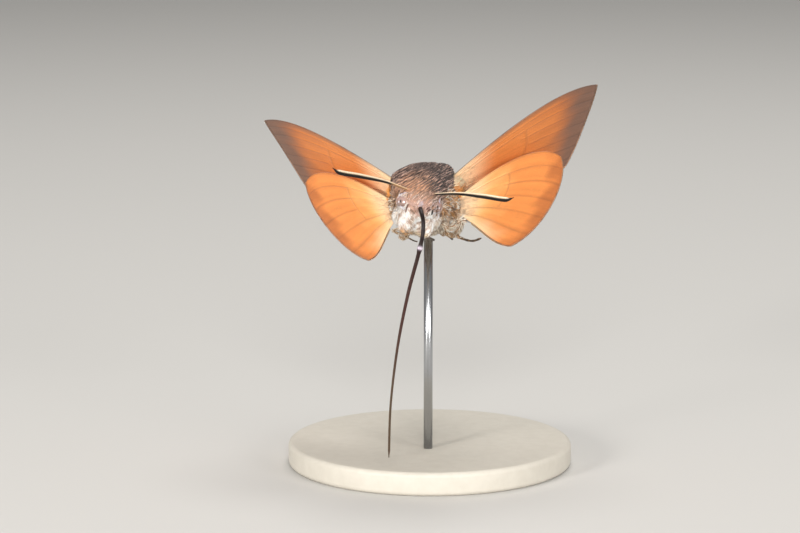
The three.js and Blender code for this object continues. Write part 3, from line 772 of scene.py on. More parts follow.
def coat_piece(name, roots, normals, way, length, width, rise, colour, material, slot, uv, root=0.45,
               tip=1.25, **shape):
    """One piece of coat: tufts with painted shade and light, darker and warmer at the root and lighter at
    the tip, each a patch of the map.
    """
    points, faces, spots = tufts(roots, normals, way, length, width, rise, **shape)
    # painted shade along each hair: root and tip scale its colour at either end, and the shade is warmer
    # where it is darker
    shade = root + (tip - root) * spots[:, 1] ** 0.7
    tint = (colour[:, None] * shade[None, :, None] ** (0.85, 1.0, 1.15)).reshape(-1, 3)
    patch = (uv[:, None] + PATCH * (spots - 0.5)[None]).reshape(-1, 2)
    piece = make_piece(name, points, faces, material, tint=np.clip(tint, 0, 1), uv=patch)
    return piece


def scatter(count, weight):
    """Random points of the skin, more where the weight of a triangle is more, with their normals."""
    chance = skin_areas * weight
    pick = rng.choice(len(skin_faces), count, p=chance / chance.sum())
    a, b = rng.random(count), rng.random(count)
    fold = a + b > 1
    a[fold], b[fold] = 1 - a[fold], 1 - b[fold]
    shares = table(1 - a - b, a, b)
    corners = skin_faces[pick]
    points, normals = (np.einsum("ij,ijk->ik", shares, v[corners]) for v in (skin_points, skin_normals))
    return points, unit(normals)


def settle(tips):
    """The moves that would bring points down, or up, to the skin."""
    spot = nearest(skin_tree, tips)
    return np.clip(-dot(tips - skin_points[spot], skin_normals[spot]), -0.8, 0.4) * skin_normals[spot]


def locks(roots, share):
    """For each hair the number of the lock it belongs to, and where that lock's middle is."""
    count = max(1, int(len(roots) * share))
    lock = nearest(tree_of(roots[:count]), roots)
    return lock, roots[lock]


middles = skin_points[skin_faces].mean(axis=1)
region_at, moth_at, head_at = region_of(middles)
clear_of_eyes = eye_distance(head_at) > 0.97


def grow(name, slot, where, cover, length, width, rise, material=FUR, tangle=0.12, draw_in=0.5, share=0.3,
         loose=0.0, streaked=0.0, **shape):
    """One stretch of coat over the triangles for which where is true, about cover hairs deep, in locks.

    The hairs follow the skin's curve, all but the loose share of it, and streaked is how much of their
    colour is in streaks.
    """
    where = where & clear_of_eyes
    count = int(cover * skin_areas[where].sum() / (width * length))
    roots, normals = scatter(count, where)
    lock, middle = locks(roots, share)
    tone, size, lift, bend = (rng.uniform(-1, 1, count)[lock] for _ in range(4))
    tone = tone * 0.9 * (1 - streaked) + streaked * 1.1 * streaks(moved(roots, MOTH.inverted()))
    vary = np.clip(tone + 0.35 * rng.uniform(-1, 1, count), -1, 1)
    reach = length * (1 + 0.18 * size) * rng.uniform(0.8, 1.1, count)
    way = lying(lie(roots, normals, tangle) + draw_in * (middle - roots) / reach[:, None], normals)
    angle = np.radians(rise) * (1 + 0.4 * lift) * rng.uniform(0.75, 1.25, count)
    coat_piece(name, roots, normals, way, reach, width * np.exp(rng.normal(-0.1, 0.4, count)), angle,
               markings(roots, vary), material, slot, unwrap(roots), bend=0.16 * (1 - streaked) * bend,
               sag=(1 - loose) * settle(roots + way * reach[:, None]), **shape)


def grow_coat():
    """The whole coat, stretch by stretch: cover, length, width and rise in degrees come after the place."""
    y, z = moth_at[:, 1], moth_at[:, 2]
    on_thorax, on_head, on_palp, on_abdomen = (region_at == k for k in range(4))
    above, frontal, chest = z > 0.4, y < -1.5, z <= -2
    by_wing = on_thorax & (wing_distance(moth_at) < 1.0)
    mantle = on_thorax & above & ~by_wing
    flanks = on_thorax & ~above & ~chest & ~by_wing
    face_side = on_head & (head_at[:, 1] < 0.2) & (head_at[:, 2] < 0.7)
    near_face = on_head | on_palp | (on_thorax & (y < -2.8))
    along = (y - ABDOMEN_START) / ABDOMEN_LENGTH
    on_abdomen &= along < 0.93
    on_back = z > -0.8 - droop(along)
    combed = dict(tangle=0.05, draw_in=0.2, streaked=0.85)
    grow("thorax_fur_back", "thorax_fur", mantle & ~frontal, 9, 1.6, 0.06, 9, **combed)
    grow("thorax_fur_collar", "thorax_fur", mantle & frontal, 11, 1.35, 0.058, 9, **combed)
    grow("thorax_fur_flanks", "thorax_fur", flanks, 10, 1.0, 0.07, 22, tangle=0.35, loose=0.5, share=0.2,
         draw_in=0.7, root=0.35, tip=1.35)
    grow("thorax_fur_chest", "thorax_fur", on_thorax & chest, 9, 1.2, 0.06, 15, tangle=0.22, share=0.12,
         draw_in=0.7)
    grow("thorax_fur_wing_roots", "thorax_fur", by_wing, 10, 1.2, 0.055, 30, tangle=0.22, loose=1.0,
         root=0.9)
    grow("head_fur_crown", "head_fur", on_head & ~face_side, 11, 1.0, 0.05, 9, FACE_FUR, tangle=0.06,
         draw_in=0.2, streaked=0.8)
    grow("head_fur_face", "head_fur", face_side, 11, 0.7, 0.042, 12, FACE_FUR, tangle=0.12, draw_in=0.25,
         streaked=0.75)
    grow("palp_fur", "palp_scales", on_palp, 10, 0.8, 0.048, 13, FACE_FUR, root=0.6, tangle=0.13, share=0.1,
         draw_in=0.7)
    grow("head_underfur", "head_fur", near_face, 2.8, 0.34, 0.05, 17, FACE_FUR, tangle=0.6, stations=SHORT)
    grow("abdomen_scales_back", "abdomen_fur", on_abdomen & on_back, 7, 0.95, 0.085, 9, stations=SHORT)
    grow("abdomen_scales_belly", "abdomen_fur", on_abdomen & ~on_back, 6, 0.95, 0.085, 9, stations=SHORT)


grow_coat()
# painted shade: the skin under the coat has the markings at 0.6 of their brightness, as the shade between
# the hairs
shaded_skin_tint = markings(skin_points, np.zeros(len(skin_points))) * 0.6
skin = make_piece("skin", skin_points, skin_faces, HIDE, tint=shaded_skin_tint, uv=unwrap(skin_points))
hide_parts("head", "palp_left", "palp_right", "thorax", "abdomen")


# Tufts of long scales: white and black on the abdomen's sides, black-brown in the tail's fan

SIDE_TUFTS = ((0.44, 1.0, -0.1), (0.555, 0.92, 0.0), (0.665, 0.3, 0.15), (0.775, 0.04, 0.25))
TAIL_SHARE = 0.9  # how far along the abdomen the tail's brush starts


def brush(name, slot, roots, way, normals, length, width, colour, **shape):
    """A bundle of long scales, given in the moth's frame."""
    world = moved(roots, MOTH)
    rise = np.radians(rng.uniform(2, 12, len(roots)))
    return coat_piece(name, world, spun(unit(normals), MOTH), spun(unit(way), MOTH), length, width, rise,
                      colour, FUR, slot, unwrap(world), **shape)


def side_tuft(name, side, share, pale, height):
    """One tapered bundle on a side of the abdomen; pale is the share of white scales in it."""
    count = 520
    s = share + rng.normal(0, 0.016, count)
    lift = height + rng.normal(0, 0.15, count)
    roots = abdomen_ring(s, np.where(side > 0, lift, math.pi - lift), COAT["abdomen"] + 0.05)
    out = table(side, 0.0, 0.7 * np.sin(lift))
    length = rng.uniform(1.7, 2.7, count)
    way = np.array([0.2 * side, 1.0, 0.0]) + 0.55 * (roots.mean(axis=0) - roots) / length[:, None]
    way += rng.normal(0, 0.05, (count, 3))
    white = (rng.random(count) < pale)[:, None]
    colour = np.where(white, CREAM, TAIL) * (1 + rng.uniform(-0.2, 0.12, count))[:, None]
    brush(name, "abdomen_fur", roots, way, out, length, 0.1, colour)


def tail_brush():
    count = 4600
    place = np.clip(rng.normal(0, 0.5, count), -1, 1)
    split = np.sign(place) * (0.55 + 0.45 * np.abs(place))
    place = np.where(rng.random(count) < 0.5, split, 0.45 * place)
    height = rng.uniform(-1, 1, count)
    end, drop = ABDOMEN_START + ABDOMEN_LENGTH * TAIL_SHARE, -droop(TAIL_SHARE)
    roots = table(place * 1.15, end + rng.uniform(-0.2, 1.2, count), drop + height * 0.62)
    angle = np.radians(place * 40)
    way = table(np.sin(angle), np.cos(angle), -0.06 + 0.13 * height)
    up = table(0.0, 0.0, np.where(height > 0, 1.0, -1.0))
    length = 4.6 * (1 - 0.15 * place ** 2) * rng.uniform(0.6, 1.0, count)
    colour = mix(TAIL, paint("#574438"), rng.random(count) ** 2 * 0.7)
    fan = brush("tail_brush", "tail_scales", roots, way, up, length, 0.13, colour, curl=0.1, tip=1.5)
    core = placed(egg((1.3, 1.9, 0.7), (0, end + 0.9, drop - 0.1)), MOTH)
    middle = make_piece("tail_core", *core, HIDE, tint=np.tile(TAIL, (len(core[0]), 1)))
    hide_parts("tail_fan")


for number, (tuft_share, pale_share, tuft_height) in enumerate(SIDE_TUFTS):
    side_tuft(f"side_tuft_left_{number}", 1, tuft_share, pale_share, tuft_height)
    side_tuft(f"side_tuft_right_{number}", -1, tuft_share, pale_share, tuft_height)
tail_brush()


# Wings

FORE = dict(
    costa=((-1.6, 0.1), (6, -1.0), (14.5, -1.4), (19.3, 1.7)),
    outer=((19.3, 1.7), (18.9, 4.0), (16.0, 7.1), (12.9, 8.1)),
    inner=((-1.4, 2.3), (4.0, 3.3), (9.2, 7.5), (12.9, 8.1)),
    camber=0.7, tip_bend=0.9,
    veins=((0.11, 0), (0.23, 0), (0.36, 0.5), (0.49, 0.56), (0.62, 0.5), (0.74, 0), (0.88, 0.08)),
    cell=(0.5, 0.23, 0.74),
)
HIND = dict(
    costa=((-1.6, 0.2), (3.6, -1.5), (9.8, -1.9), (12.2, 1.2)),
    outer=((12.2, 1.2), (13.4, 4.6), (9.6, 9.0), (4.7, 8.5)),
    inner=((-1.4, 2.0), (0.9, 3.6), (2.0, 7.0), (4.7, 8.5)),
    camber=0.35, tip_bend=0.3,
    veins=((0.16, 0), (0.32, 0.45), (0.48, 0.5), (0.64, 0), (0.82, 0.1)),
    cell=(0.45, 0.16, 0.64),
)
SHEET, VEIN = 0.06, 0.075  # half thickness of the membrane, and how far a vein stands out of each face
BASE_CREAM, PALE, BRIGHT, RUST = paint("#fcd5a8"), paint("#f2b068"), paint("#e98c42"), paint("#b8662b")
PURPLE, GREY_BROWN, DARK_LINE, DUSK = paint("#745240"), paint("#75665a"), paint("#382d28"), paint("#54301f")


def bezier(control, t):
    a, b, c, d = (np.asarray(p, float) for p in control)
    t = np.asarray(t)[..., None]
    return a * (1 - t) ** 3 + 3 * b * t * (1 - t) ** 2 + 3 * c * t * t * (1 - t) + d * t ** 3


def wing_sheet(wing, u, v):
    """Points of the middle of a wing: u from root to margin, v from front to hind edge."""
    apex, corner = np.array(wing["costa"][-1]), np.array(wing["inner"][-1])
    flat = mix(bezier(wing["costa"], u), bezier(wing["inner"], u), v)
    flat += (bezier(wing["outer"], v) - mix(apex, corner, v)) * u[..., None]
    height = wing["camber"] * np.sin(np.pi * v) * (0.35 + 0.65 * u) + wing["tip_bend"] * u * u
    return np.concatenate([flat, height[..., None]], axis=-1)


def vein_height(wing, u, v):
    """How much of a vein there is at each place, from 0 to 1."""
    rise = peak(v, 0, 0.02)
    thin = 0.012 * (1.25 - 0.5 * u)
    for at, start in wing["veins"]:
        rise = np.maximum(rise, peak(v, at, thin) * (step(u, start - 0.04, start + 0.02) if start else 1))
    end, first, last = wing["cell"]
    bow = 0.02 * np.sin(np.pi * (v - first) / (last - first))
    return np.maximum(rise, peak(u, end + bow, 0.008) * (v > first) * (v < last))


def fore_under(u, v, w):
    return layered(
        BASE_CREAM,
        (BRIGHT * 0.85, step(u, 0.1, 0.34)),
        (RUST, step(u + 0.04 * w, 0.45, 0.8) * 0.85),
        (PURPLE, step(u + 0.02 * w, 0.66, 0.92)),
        (PURPLE, (1 - step(v, 0.02, 0.12)) * 0.5 * step(u, 0.1, 0.4)),
    )


def fore_over(u, v, w):
    """Grey-brown with four dark lines across, a dark spot and a dark root and margin."""
    bend = 0.03 * np.sin(9 * v + 0.5) + 0.015 * w
    lines = ((0.3, 0.02), (0.355, 0.012), (0.62, 0.014), (0.67, 0.02))
    return layered(
        GREY_BROWN,
        (GREY_BROWN * 1.35, np.clip(0.5 + 0.4 * w, 0, 1)),
        *((DARK_LINE, peak(u, line + bend * (1 + line), thin) * 0.85) for line, thin in lines),
        (DARK_LINE, peak(u, 0.47, 0.016) * peak(v, 0.4, 0.04)),
        (DARK_LINE * 1.4, step(u + 0.05 * w, 0.84, 0.97) * 0.6),
        (DARK_LINE, (1 - step(u, 0.05, 0.16)) * 0.6),
    )


def hind_under(u, v, w):
    return layered(
        BASE_CREAM,
        (PALE, step(u, 0.1, 0.35)),
        (BRIGHT, step(u + 0.05 * w, 0.2, 0.6)),
        (RUST, step(u + 0.05 * w, 0.78, 0.98) * 0.85),
        (BASE_CREAM, step(v + 0.02 * w, 0.78, 1.0) * (1 - step(u, 0.45, 0.85)) * 0.7),
    )


def hind_over(u, v, w):
    return layered(
        DUSK,
        (BRIGHT * 0.9, step(u + 0.05 * w, 0.1, 0.3)),
        (DUSK, step(u + 0.05 * w, 0.8, 0.95) * 0.85),
        (RUST, step(v, 0.85, 1.0) * 0.6),
    )


def wing_wave(u, v, along, across, size, seed):
    """A smooth field over a wing, with its own scale each way."""
    return waver(table(u.ravel() * along, v.ravel() * across), size, seed).reshape(u.shape)


def make_wing(name, wing, under, over, place):
    """A closed sheet with veins raised on both faces, and its fringe."""
    rows, columns = 150, 110
    v, u = np.meshgrid(np.linspace(0, 1, rows), np.linspace(0, 1, columns), indexing="ij")
    middle = wing_sheet(wing, u, v)
    normal = unit(np.cross(np.gradient(middle, axis=1), np.gradient(middle, axis=0)))
    vein = vein_height(wing, u, v)
    edge = np.minimum(np.minimum(v, 1 - v) * 14, (1 - u) * 22)
    ripple = 0.012 * wing_wave(u, v, 20, 9, 0.5, 4)
    half = SHEET * np.clip(0.25 + edge, 0.25, 1) + VEIN * vein * (1.15 - 0.7 * u)
    half = (half + ripple * np.clip(edge, 0, 1) * 0.4)[..., None]
    points = np.concatenate([(middle + s * normal * half).reshape(-1, 3) for s in (1, -1)])
    wave = wing_wave(u, v, 12, 7, 1.0, 6)
    shade = (1 - 0.22 * vein) * (1 + 0.05 * wing_wave(u, v, 5, 45, 1.0, 7))
    tint = np.concatenate([(c(u, v, wave) * shade[..., None]).reshape(-1, 3) for c in (over, under)])
    top = grid_faces(rows, columns, False)
    number = np.arange(rows * columns).reshape(rows, columns)
    ring = np.concatenate([number[0], number[1:, -1], number[-1, -2::-1], number[-2:0:-1, 0]])
    after = np.roll(ring, -1)
    wall = [table(ring, after + number.size, after), table(ring, ring + number.size, after + number.size)]
    faces = np.concatenate([top, top[:, ::-1] + number.size, *wall])
    piece = make_piece(f"{name}_scaled", *placed((points, faces), place), WING, tint=tint)
    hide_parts(name)
    fringe(name, wing, under, place)


def fringe(name, wing, under, place):
    """A narrow fringe of scales past the wing's outer and hind edges, and long hairs over its root."""
    count, root_count = 2600, 1400
    outer = rng.random(count) < 0.62
    u = np.where(outer, 0.995, 0.25 + 0.75 * rng.random(count))
    v = np.where(outer, rng.random(count), 0.995)
    past = wing_sheet(wing, np.minimum(u + 0.001, 1), np.minimum(v + 0.001, 1))
    out = unit(past - wing_sheet(wing, u - 0.002 * outer, v - 0.002 * ~outer))
    colour = mix(under(u * 0.8, v * 0.9, 0.0), WING_CREAM, 0.25) * rng.uniform(0.95, 1.25, count)[:, None]
    ru, rv = 0.01 + 0.16 * rng.random(root_count) ** 3, rng.uniform(0.02, 0.98, root_count)
    face = np.where(rng.random(root_count) < 0.6, -1.0, 1.0)
    root_out = np.array([1.0, 0.12, 0.0]) + rng.normal(0, 0.1, (root_count, 3))
    pale = mix(WING_CREAM, under(ru, rv, 0.0), step(ru, 0.06, 0.17))
    on_face = wing_sheet(wing, ru, rv) + table(0.0, 0.0, face * SHEET)
    roots = np.concatenate([wing_sheet(wing, u, v), on_face])
    way = unit(np.concatenate([out, root_out]))
    normals = lying(table(0.0, 0.0, np.append(np.ones(count), face)), way)
    length = np.append(rng.uniform(0.1, 0.24, count), rng.uniform(0.5, 1.1, root_count))
    width, rise = (np.repeat(pair, (count, root_count)) for pair in ((0.08, 0.05), (0.0, 0.02)))
    coat_piece(f"{name}_fringe", moved(roots, place), spun(normals, place), spun(way, place), length, width,
               rise, np.concatenate([colour, pale]), FUR, f"{name.split('_')[0]}_scales",
               inset(table(np.append(u, ru), np.append(v, rv))), root=0.95, tip=1.1, ridge=0.12,
               stations=SHORT)


for hand, mirror in SIDES:
    fore_place = MOTH @ mirror @ wing_frame(WING_LIFT[hand])
    hind_place = fore_place @ Matrix.Translation((0, HIND_BACK, -HIND_UNDER)) @ turned("Z", Z=HIND_SPREAD)
    make_wing(f"forewing_{hand}", FORE, fore_under, fore_over, fore_place)
    make_wing(f"hindwing_{hand}", HIND, hind_under, hind_over, hind_place)


# Eyes, and the face's own marks

EYE_SPOTS = (  # colour, which way from the eye's middle, half width and half height
    ("#120c0a", (0.97, -0.23, 0.02), 0.11, 0.27),
    ("#f3ecf2", (1.0, 0.04, -0.12), 0.1, 0.17),
)
EYE_STRAYS = {"left": (1100, math.pi, 0.8), "right": (420, 1.3, 0.42)}  # how many, spread, and reach inwards

# Colour, the two ends in the head's frame, half the width, and how many hairs
FACE_MARKS = (
    # the brown hairs under the right eye are dark as painted shade of the groove between eye and palp
    ("#6f4029", (-1.16, -2.25, -1.29), (-1.05, -1.88, -0.61), 0.06, 60),  # brown, under the right eye
    ("#f1eaf2", (-1.85, -0.85, -0.6), (-1.55, -1.37, -0.87), 0.08, 60),  # lilac-white, round the right eye
    ("#f1eaf2", (-1.55, -1.37, -0.87), (-1.35, -1.82, -0.98), 0.08, 46),
    ("#e9e0ea", (-2.03, -0.52, 0.16), (-1.78, -1.01, 0.45), 0.06, 30),
    ("#e0d3da", (-1.78, -1.01, 0.45), (-1.45, -1.35, 0.64), 0.06, 26),
    # the black hairs under the left eye are painted shade in the crease between eye and palp
    ("#120b09", (1.31, -2.04, -1.16), (1.43, -1.41, -0.56), 0.07, 74),  # black and white, under the left eye
    ("#f6f0f2", (1.39, -1.77, -1.01), (1.87, -0.81, -0.53), 0.05, 50),
    ("#754a2d", (1.52, -1.32, -0.75), (1.88, -0.87, -0.35), 0.05, 34),
    ("#f6f0f2", (1.62, -1.2, -0.62), (1.76, -1.07, -0.31), 0.07, 24),
    ("#f6f0f2", (1.84, -1.5, -1.57), (2.01, -0.45, -0.84), 0.06, 50),
    ("#754a2d", (1.74, -1.51, -1.24), (1.8, -1.24, -1.0), 0.05, 20),
    ("#dcd2e4", (1.92, -0.81, -0.25), (1.82, -0.92, 0.52), 0.06, 44),
    ("#1a1210", (2.03, -0.46, 0.36), (2.14, -0.2, 0.6), 0.08, 24),
    ("#dccbd0", (0.0, -2.13, -0.55), (0.3, -2.14, -0.1), 0.3, 26),  # over the tongue's root
    ("#5b302c", (0.68, -2.1, -0.76), (0.95, -1.89, -0.53), 0.04, 16),
    ("#5b302c", (0.84, -2.19, -0.92), (1.07, -1.95, -0.7), 0.04, 14),
)


def make_face_marks():
    spots, ways, tints = [], [], []
    for code, start, end, half, count in FACE_MARKS:
        start, end = np.array(start), np.array(end)
        ahead = unit(end - start)
        aside = unit(np.cross(ahead, (0, 1, 0)))
        share = rng.uniform(-0.1, 0.75, (count, 1))
        spots.append(start + (end - start) * share + aside * rng.normal(0, half / 2, (count, 1)))
        ways.append(ahead + rng.normal(0, 0.07, (count, 3)))
        tints.append(paint(code) * rng.uniform(0.85, 1.15, (count, 1)))
    near = moved(np.concatenate(spots), HEAD)
    spot = nearest(skin_tree, near)
    normals = skin_normals[spot]
    roots = near - normals * (dot(near - skin_points[spot], normals) - 0.03)
    way = lying(spun(np.concatenate(ways), HEAD), normals)
    length, rise = rng.uniform(0.34, 0.5, len(roots)), np.radians(rng.uniform(20, 30, len(roots)))
    coat_piece("face_marks", roots, normals, way, length, 0.05, rise, np.concatenate(tints), FACE_FUR,
               "head_fur", unwrap(roots), root=0.8, tip=1.1)


def make_eye(hand, mirror):
    """A dome, darker below, with a dark spot and a gleam."""
    points, faces = egg(EYE_HALF, EYE_AT, turn=(0, 0, EYE_TURN), sides=96, rows=72)
    way = unit(spun(points - EYE_AT, turned("Z", Z=-EYE_TURN)) / EYE_HALF)
    tint = mix(paint("#7b6157"), paint("#ac8d84"), step(way[:, 2] + 0.2 * way[:, 0], -0.6, 0.6))
    for code, spot, wide, tall in EYE_SPOTS:
        away = way - unit(np.array(spot))
        near = np.hypot(np.hypot(away[:, 0], away[:, 1]) / wide, away[:, 2] / tall)
        tint = mix(tint, paint(code), (1 - step(near, 0.6, 1.2)) * 0.95)
    piece = make_piece(f"eye_{hand}_dome", *placed((points, faces), HEAD @ mirror), EYE, tint=tint)
    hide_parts(f"eye_{hand}")


def make_eye_rim(hand, mirror):
    """A collar of short pale hairs round an eye, and strays over it.

    The strays half hide the left eye, and the inner edge of the right one.
    """
    collar, (strays, spread, reach) = 340, EYE_STRAYS[hand]
    count = collar + strays
    stray = np.arange(count) >= collar
    place = HEAD @ mirror
    turn = turned("Z", Z=EYE_TURN)
    angle = np.where(stray, math.pi + rng.uniform(-spread, spread, count), rng.uniform(-2.3, 2.1, count))
    c, s = np.cos(angle), np.sin(angle)
    level = np.where(stray, rng.uniform(0.1, reach, count), rng.uniform(0.05, 0.25, count))
    wide = np.sqrt(1 - level ** 2) + rng.uniform(0.0, 0.06, count)
    ring = table(level, wide * c, wide * s)
    roots = moved(moved(ring * EYE_HALF, Matrix.Translation(EYE_AT) @ turn), place)
    out = spun(spun(unit(ring), turn), place)
    round_it = table(1.0, 0.12 * c - 0.25 * s, 0.12 * s + 0.25 * c) + rng.normal(0, 0.1, (count, 3))
    over = spun(np.array([(0.66, 0.2, 0.75)]), MOTH) + rng.normal(0, 0.14, (count, 3))
    way = lying(np.where(stray[:, None], over, spun(spun(round_it, turn), place)), out)
    pick = rng.random(count)
    colour = layered(
        CHEEK,
        (paint("#cdb6c2"), pick),
        (FACE * 0.65, (pick < 0.5) * 0.9),
        (FLANK_DARK, ~stray * step(-angle, 1.55, 1.9) * 0.9),
    )
    over_eye = layered(FACE, (paint("#e6dade"), pick > 0.76), (FLANK_DARK, (pick < 0.42) * 0.95))
    colour = np.where(stray[:, None], over_eye, colour)
    length = np.where(stray, 0.5, 0.36) * rng.uniform(0.7, 1.1, count)
    width, rise = 0.038 * np.exp(rng.normal(0, 0.3, count)), np.radians(rng.uniform(5, 14, count))
    coat_piece(f"eye_rim_{hand}", roots, out, way, length, width, rise, colour, FACE_FUR, "head_fur",
               unwrap(roots), root=0.7, bend=rng.normal(0, 0.1, count))


# Feelers, tongue and legs

FEELER_COURSE = ((-0.09, -0.1), (0.3, 0.22), (0.65, 0.132), (0.93, 0), (1, 0.22))  # share, and rise
FEELER_BARE = {"left": 0.06, "right": 0.26}  # how far out the tan root reaches, as a share
TONGUE = ((0.1, -1.4, -0.5), (0.26, -2.5, -0.85), (0.62, -3.3, -1.75), (0.8, -3.5, -3.0),
          (0.72, -3.32, -4.9), (0.36, -2.88, -8.7), (0.17, -2.4, -14.0), (0.42, -1.85, -20.0),
          (1.08, -1.3, -25.2))
LEGS = {
    "foreleg_left": ((1.5, -2.4, -2.3), (2.7, -3.2, -3.0), (3.85, -3.5, -2.35), (3.75, -3.4, -2.95),
                     (3.3, -3.1, -3.7), (3.92, -2.9, -4.2), (4.88, -2.7, -4.45), (5.75, -2.55, -4.2)),
    "foreleg_right": ((-1.5, -2.2, -2.3), (-2.35, -2.9, -2.9), (-2.95, -3.3, -3.05), (-2.3, -3.4, -3.45),
                      (-1.5, -3.2, -3.85), (-1.05, -2.5, -4.15), (-0.8, -1.5, -4.25)),
    "midleg": ((1.5, -0.8, -2.9), (2.15, 0.0, -3.65), (2.8, 1.3, -3.65), (2.95, 2.7, -3.3),
               (2.6, 4.6, -3.15), (2.3, 6.4, -3.2), (2.05, 8.4, -3.4)),
    "hindleg": ((0.9, 2.0, -2.8), (1.15, 3.5, -3.45), (1.25, 5.4, -3.3), (1.15, 8.6, -3.65),
                (1.05, 11.0, -3.8), (0.95, 13.2, -3.95)),
}
LEG_JOINTS = (0.62, 0.72, 0.8, 0.88, 0.95)  # of the foot, as shares of a leg's length
LEG_OVER = (0.0, 0.3, 1.0)  # what is over a leg, near enough, in the moth's frame
LONGEST_SCALES = {"foreleg_left": 0.75, "foreleg_right": 0.1}  # 0.22 on the other legs


def make_feeler(hand, mirror):
    """A ringed feeler, pale above and black below, tan at its root."""
    whole = FEELER_TIP - FEELER_ROOT
    course = [FEELER_ROOT + whole * share + (0, 0, rise) for share, rise in FEELER_COURSE]
    path, sides = smooth_path(course, 160), 20
    share = np.linspace(0, 1, len(path))
    rings = 1 + 0.05 * np.sin(share * 2 * math.pi * 46)
    radii = (0.11 + 0.16 * step(share, 0.08, 0.75)) * (1 - 0.85 * step(share, 0.9, 1)) * rings
    points, faces = tube(path, radii, sides=sides, flat=0.9)
    _, _, up = path_axes(path, np.array((0.0, 0, 1)))
    ring_of = ring_numbers(len(path), sides)
    facing = dot(unit(points - path[ring_of] + 1e-9), up[ring_of])[:, 0]
    pale = step(facing, 0.1, 0.5) * (1 - step(share[ring_of], 0.93, 0.97))
    bare = FEELER_BARE[hand]
    tan = mix(paint("#96714f"), paint("#efcfa6"), pale)
    tint = layered(
        paint("#120d0b"),
        (paint("#f2dcbc"), pale),
        (tan, 1 - step(share[ring_of], bare, bare + 0.08)),
    )
    piece = make_piece(f"antenna_{hand}_scaled", *placed((points, faces), HEAD @ mirror), SCALED, tint=tint)
    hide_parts(f"antenna_{hand}")


def make_feeler_root(hand, mirror):
    """A sheath of short hairs round the root of a feeler."""
    count = 220
    place = HEAD @ mirror
    ahead = unit(FEELER_TIP - FEELER_ROOT)
    across = unit(np.cross(ahead, (0, 0, 1.0)))
    out = spokes(rng.uniform(0, 2 * math.pi, count), across, np.cross(across, ahead))
    roots = FEELER_ROOT + out * rng.uniform(0.06, 0.2, (count, 1))
    roots = roots + ahead * rng.uniform(-0.35, -0.1, (count, 1))
    world = moved(roots, place)
    length, rise = rng.uniform(0.3, 0.6, count), np.radians(rng.uniform(4, 20, count))
    way = spun(np.tile(ahead, (count, 1)), place)
    colour = markings(world, rng.uniform(-0.6, 1, count))
    coat_piece(f"feeler_root_{hand}", world, spun(out, place), way, length, 0.045, rise, colour, FACE_FUR,
               "head_fur", unwrap(world))


def make_tongue():
    """A banded tongue with a groove down each side, and a pale ring at its knee as a painted highlight."""
    path, sides = smooth_path(TONGUE, 260), 24
    share = np.linspace(0, 1, len(path))
    radii = 0.2 - 0.085 * step(share, 0.1, 0.8) + 0.09 * peak(share, 0.2, 0.012)
    radii = (radii + 0.03 * (1 - step(share, 0, 0.08))) * (1 - 0.6 * step(share, 0.97, 1))
    points, faces = tube(path, radii, over=(1, 0, 0), sides=sides)
    centre = ring_numbers(len(path), sides)
    along = share[centre]
    turn = np.cos((np.arange(len(points)) % sides) * 2 * math.pi / sides)
    groove = np.maximum(peak(turn, 1, 0.06), peak(turn, -1, 0.06))
    bands = 0.5 + 0.5 * np.sin(along * 2 * math.pi * 120)
    points = path[centre] + (points - path[centre]) * (1 - 0.16 * groove - 0.02 * bands)[:, None]
    tint = layered(
        paint("#1a0f0e"),
        (paint("#3a211b"), step(along, 0.12, 0.4)),
        (paint("#4a3b2c"), step(along, 0.45, 0.8)),
        # painted highlight: a pale lilac ring round the knee
        (paint("#d6cad8"), peak(along, 0.198, 0.006) * 0.85),
    )
    piece = make_piece("tongue", *placed((points, faces), HEAD), HORN, tint=tint)
    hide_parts("proboscis_base", "proboscis_shaft", "proboscis_tip")


def make_leg(name, course, mirror):
    """A leg with its joints, and the scales on it, longest on the thigh and shin."""
    place = MOTH @ mirror
    path, sides = smooth_path(course, 150), 14
    share = np.linspace(0, 1, len(path))
    joints = sum(peak(share, at, 0.012) for at in LEG_JOINTS)
    radii = 0.13 + 0.16 * peak(share, 0.18, 0.14) + 0.07 * peak(share, 0.45, 0.1)
    radii = (radii - 0.03 * step(share, 0.55, 0.9) + 0.025 * joints) * (1 - 0.7 * step(share, 0.97, 1))
    radii = radii * (0.6 if name == "foreleg_right" else 1)
    form = tube(path, radii, over=LEG_OVER, sides=sides)
    tint = mix(paint("#8d7254"), paint("#3b2d20"), step(share[ring_numbers(len(path), sides)], 0.5, 0.8))
    leg = make_piece(f"{name}_shaft", *placed(form, place), SCALED, tint=tint)
    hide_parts(name)
    count = 2600 if name.startswith("fore") else 1500
    spot = (4 + 139 * rng.random(count) ** 1.25).astype(int)
    ahead, side, up = path_axes(path, np.array(LEG_OVER))
    angle = rng.uniform(0, 2 * math.pi, count)
    normals = spokes(angle, side[spot], up[spot])
    thick = 1 - step(share[spot], 0.5, 0.75)
    roots = path[spot] + normals * radii[spot][:, None]
    colour = mix(FLANK_DARK, FLANK, rng.random(count))
    colour = mix(colour, CREAM, (rng.random(count) < 0.5 * thick + 0.1) * 0.9)
    length = 0.16 + LONGEST_SCALES.get(name, 0.22) * thick * rng.random(count)
    rise = np.radians(12 + 16 * rng.random(count))
    coat_piece(f"{name}_scales", moved(roots, place), spun(normals, place), spun(ahead[spot], place), length,
               0.05 + 0.03 * thick, rise, colour, FUR, "leg",
               inset(table(angle / (2 * math.pi), share[spot])), stations=SHORT)


